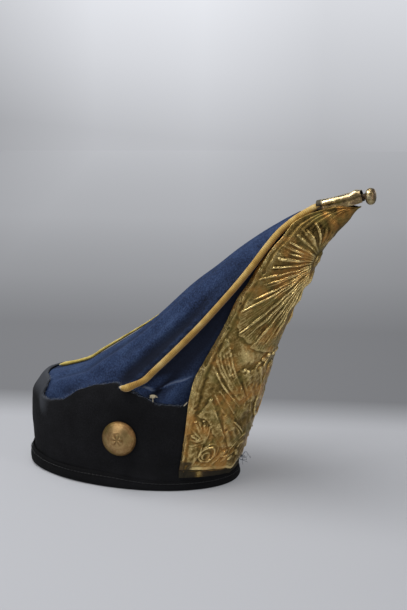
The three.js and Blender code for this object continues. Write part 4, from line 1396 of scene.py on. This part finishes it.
# How bright the backdrop is by its way from the camera along the floor and then up the wall
BACKDROP = (
    (FLOOR_END, FLOOR_GLOW), (FLOOR_END + FLOOR_FADE, 0.195), (1600, 0.2), (1930, 0.29), (2550, 0.4),
    (4000, 0.5), (4250, 0.67), (4600, 0.87),
)
# Lights: name, place, width and height, and power
LIGHTS = (
    ("overhead", (-150, 200, 1150), (800, 700), 10.5),
    ("camera_side", (-1100, 400, 700), (300, 900), 2.6),
    ("front_strip", (-500, -1300, 600), (250, 900), 3.6),
)
LIGHT_TARGET = (0, -60, 130)


def stage_place(ahead, aside, up):
    """A place measured level from the camera, along and across the way it looks."""
    way = unit(np.array(CAMERA_AHEAD[:2]))
    level = np.array(CAMERA_SPOT[:2]) + way * ahead + np.array([-way[1], way[0]]) * aside
    return np.array([*level, up])


def share_along(shader, way, climb, low, high):
    """How far a place lies along a level way from the camera, as a share of a span in metres."""
    inputs = {0: shader.place, 1: (*way, climb)}
    reach = shader.node("ShaderNodeVectorMath", inputs, operation="DOT_PRODUCT").outputs["Value"]
    start = ((np.array(CAMERA_SPOT[:2]) + RIM_CENTRE[:2]) * MILLIMETRE).dot(way)
    span = {"Value": reach, "From Min": start + low, "From Max": start + high}
    return shader.node("ShaderNodeMapRange", span).outputs["Result"]


def paper():
    """Pale grey paper beneath the cap, and a plain backdrop beyond it that lightens towards its top; both
    glow as painted light, darker towards the sides.
    """
    shader = Shader("studio_paper")
    turn = np.array(Matrix.Rotation(np.radians(FLOOR_TURN), 2))
    ahead = turn @ unit(np.array(CAMERA_AHEAD[:2]))
    share = share_along(shader, ahead, 1, 0, WALL_TOP * MILLIMETRE)
    aside = share_along(shader, np.array([-CAMERA_AHEAD[1], CAMERA_AHEAD[0]]), 0, -1, 1)
    glow = [(way_on / WALL_TOP, (grey, 1.02 * grey, 1.075 * grey)) for way_on, grey in BACKDROP]
    falloff = shader.ramp(aside, (0.15, 0.8), (0.3, 0.82), (0.5, 1.0), (0.68, 0.98), (0.84, 0.78))
    floor_end = FLOOR_END / WALL_TOP
    fade_end = floor_end + FLOOR_FADE / WALL_TOP
    shader.finish(
        base_color=shader.ramp(share, (floor_end, FLOOR_GREY), (fade_end, WALL_GREY)),
        roughness=0.9,
        specular_ior_level=0.1,
        emission_color=shader.mix(1.0, shader.ramp(share, *glow), falloff, how="MULTIPLY"),
        emission_strength=1.0,
    )
    return shader.material


def add_stage():
    profile = ((-STAGE_HALF, 0), (WALL_START, 0), (WALL_START, WALL_TOP - WALL_START))
    sides = (STAGE_HALF, -STAGE_HALF)
    grid = np.array([[stage_place(ahead, aside, up) for aside in sides] for ahead, up in profile])
    mesh = bpy.data.meshes.new("studio_sweep")
    points = (grid.reshape(-1, 3) + RIM_CENTRE) * MILLIMETRE
    mesh.from_pydata(points.tolist(), [], grid_faces(*grid.shape[:2]).tolist())
    mesh.materials.append(paper())
    sweep = bpy.data.objects.new("studio_sweep", mesh)
    bpy.context.scene.collection.objects.link(sweep)


def aim(thing, spot, ahead):
    """Puts a light or a camera at a spot, looking ahead."""
    thing.location = Vector((np.array(spot) + RIM_CENTRE) * MILLIMETRE)
    thing.rotation_euler = Vector(ahead).to_track_quat("-Z", "Y").to_euler()
    bpy.context.scene.collection.objects.link(thing)


def add_light(name, spot, size, power):
    lamp = bpy.data.lights.new(name, "AREA")
    lamp.shape = "RECTANGLE"
    lamp.size, lamp.size_y = (side * MILLIMETRE for side in size)
    lamp.energy = power
    aim(bpy.data.objects.new(name, lamp), spot, np.array(LIGHT_TARGET) - spot)


def add_lights():
    for light in LIGHTS:
        add_light(*light)
    world = bpy.data.worlds.new("studio")
    world.use_nodes = True
    background = world.node_tree.nodes["Background"]
    background.inputs["Color"].default_value = (0.62, 0.64, 0.68, 1)
    background.inputs["Strength"].default_value = 0.28
    bpy.context.scene.world = world
    bpy.context.scene.view_settings.view_transform = "Standard"


def add_camera():
    camera = bpy.data.cameras.new("photo_camera")
    camera.sensor_width = SENSOR
    camera.lens = SENSOR * FOCAL_PIXELS / max(PHOTO_SIZE)
    camera.clip_end = 20
    holder = bpy.data.objects.new("photo_camera", camera)
    aim(holder, CAMERA_SPOT, CAMERA_AHEAD)
    bpy.context.scene.camera = holder


add_stage()
add_lights()
add_camera()
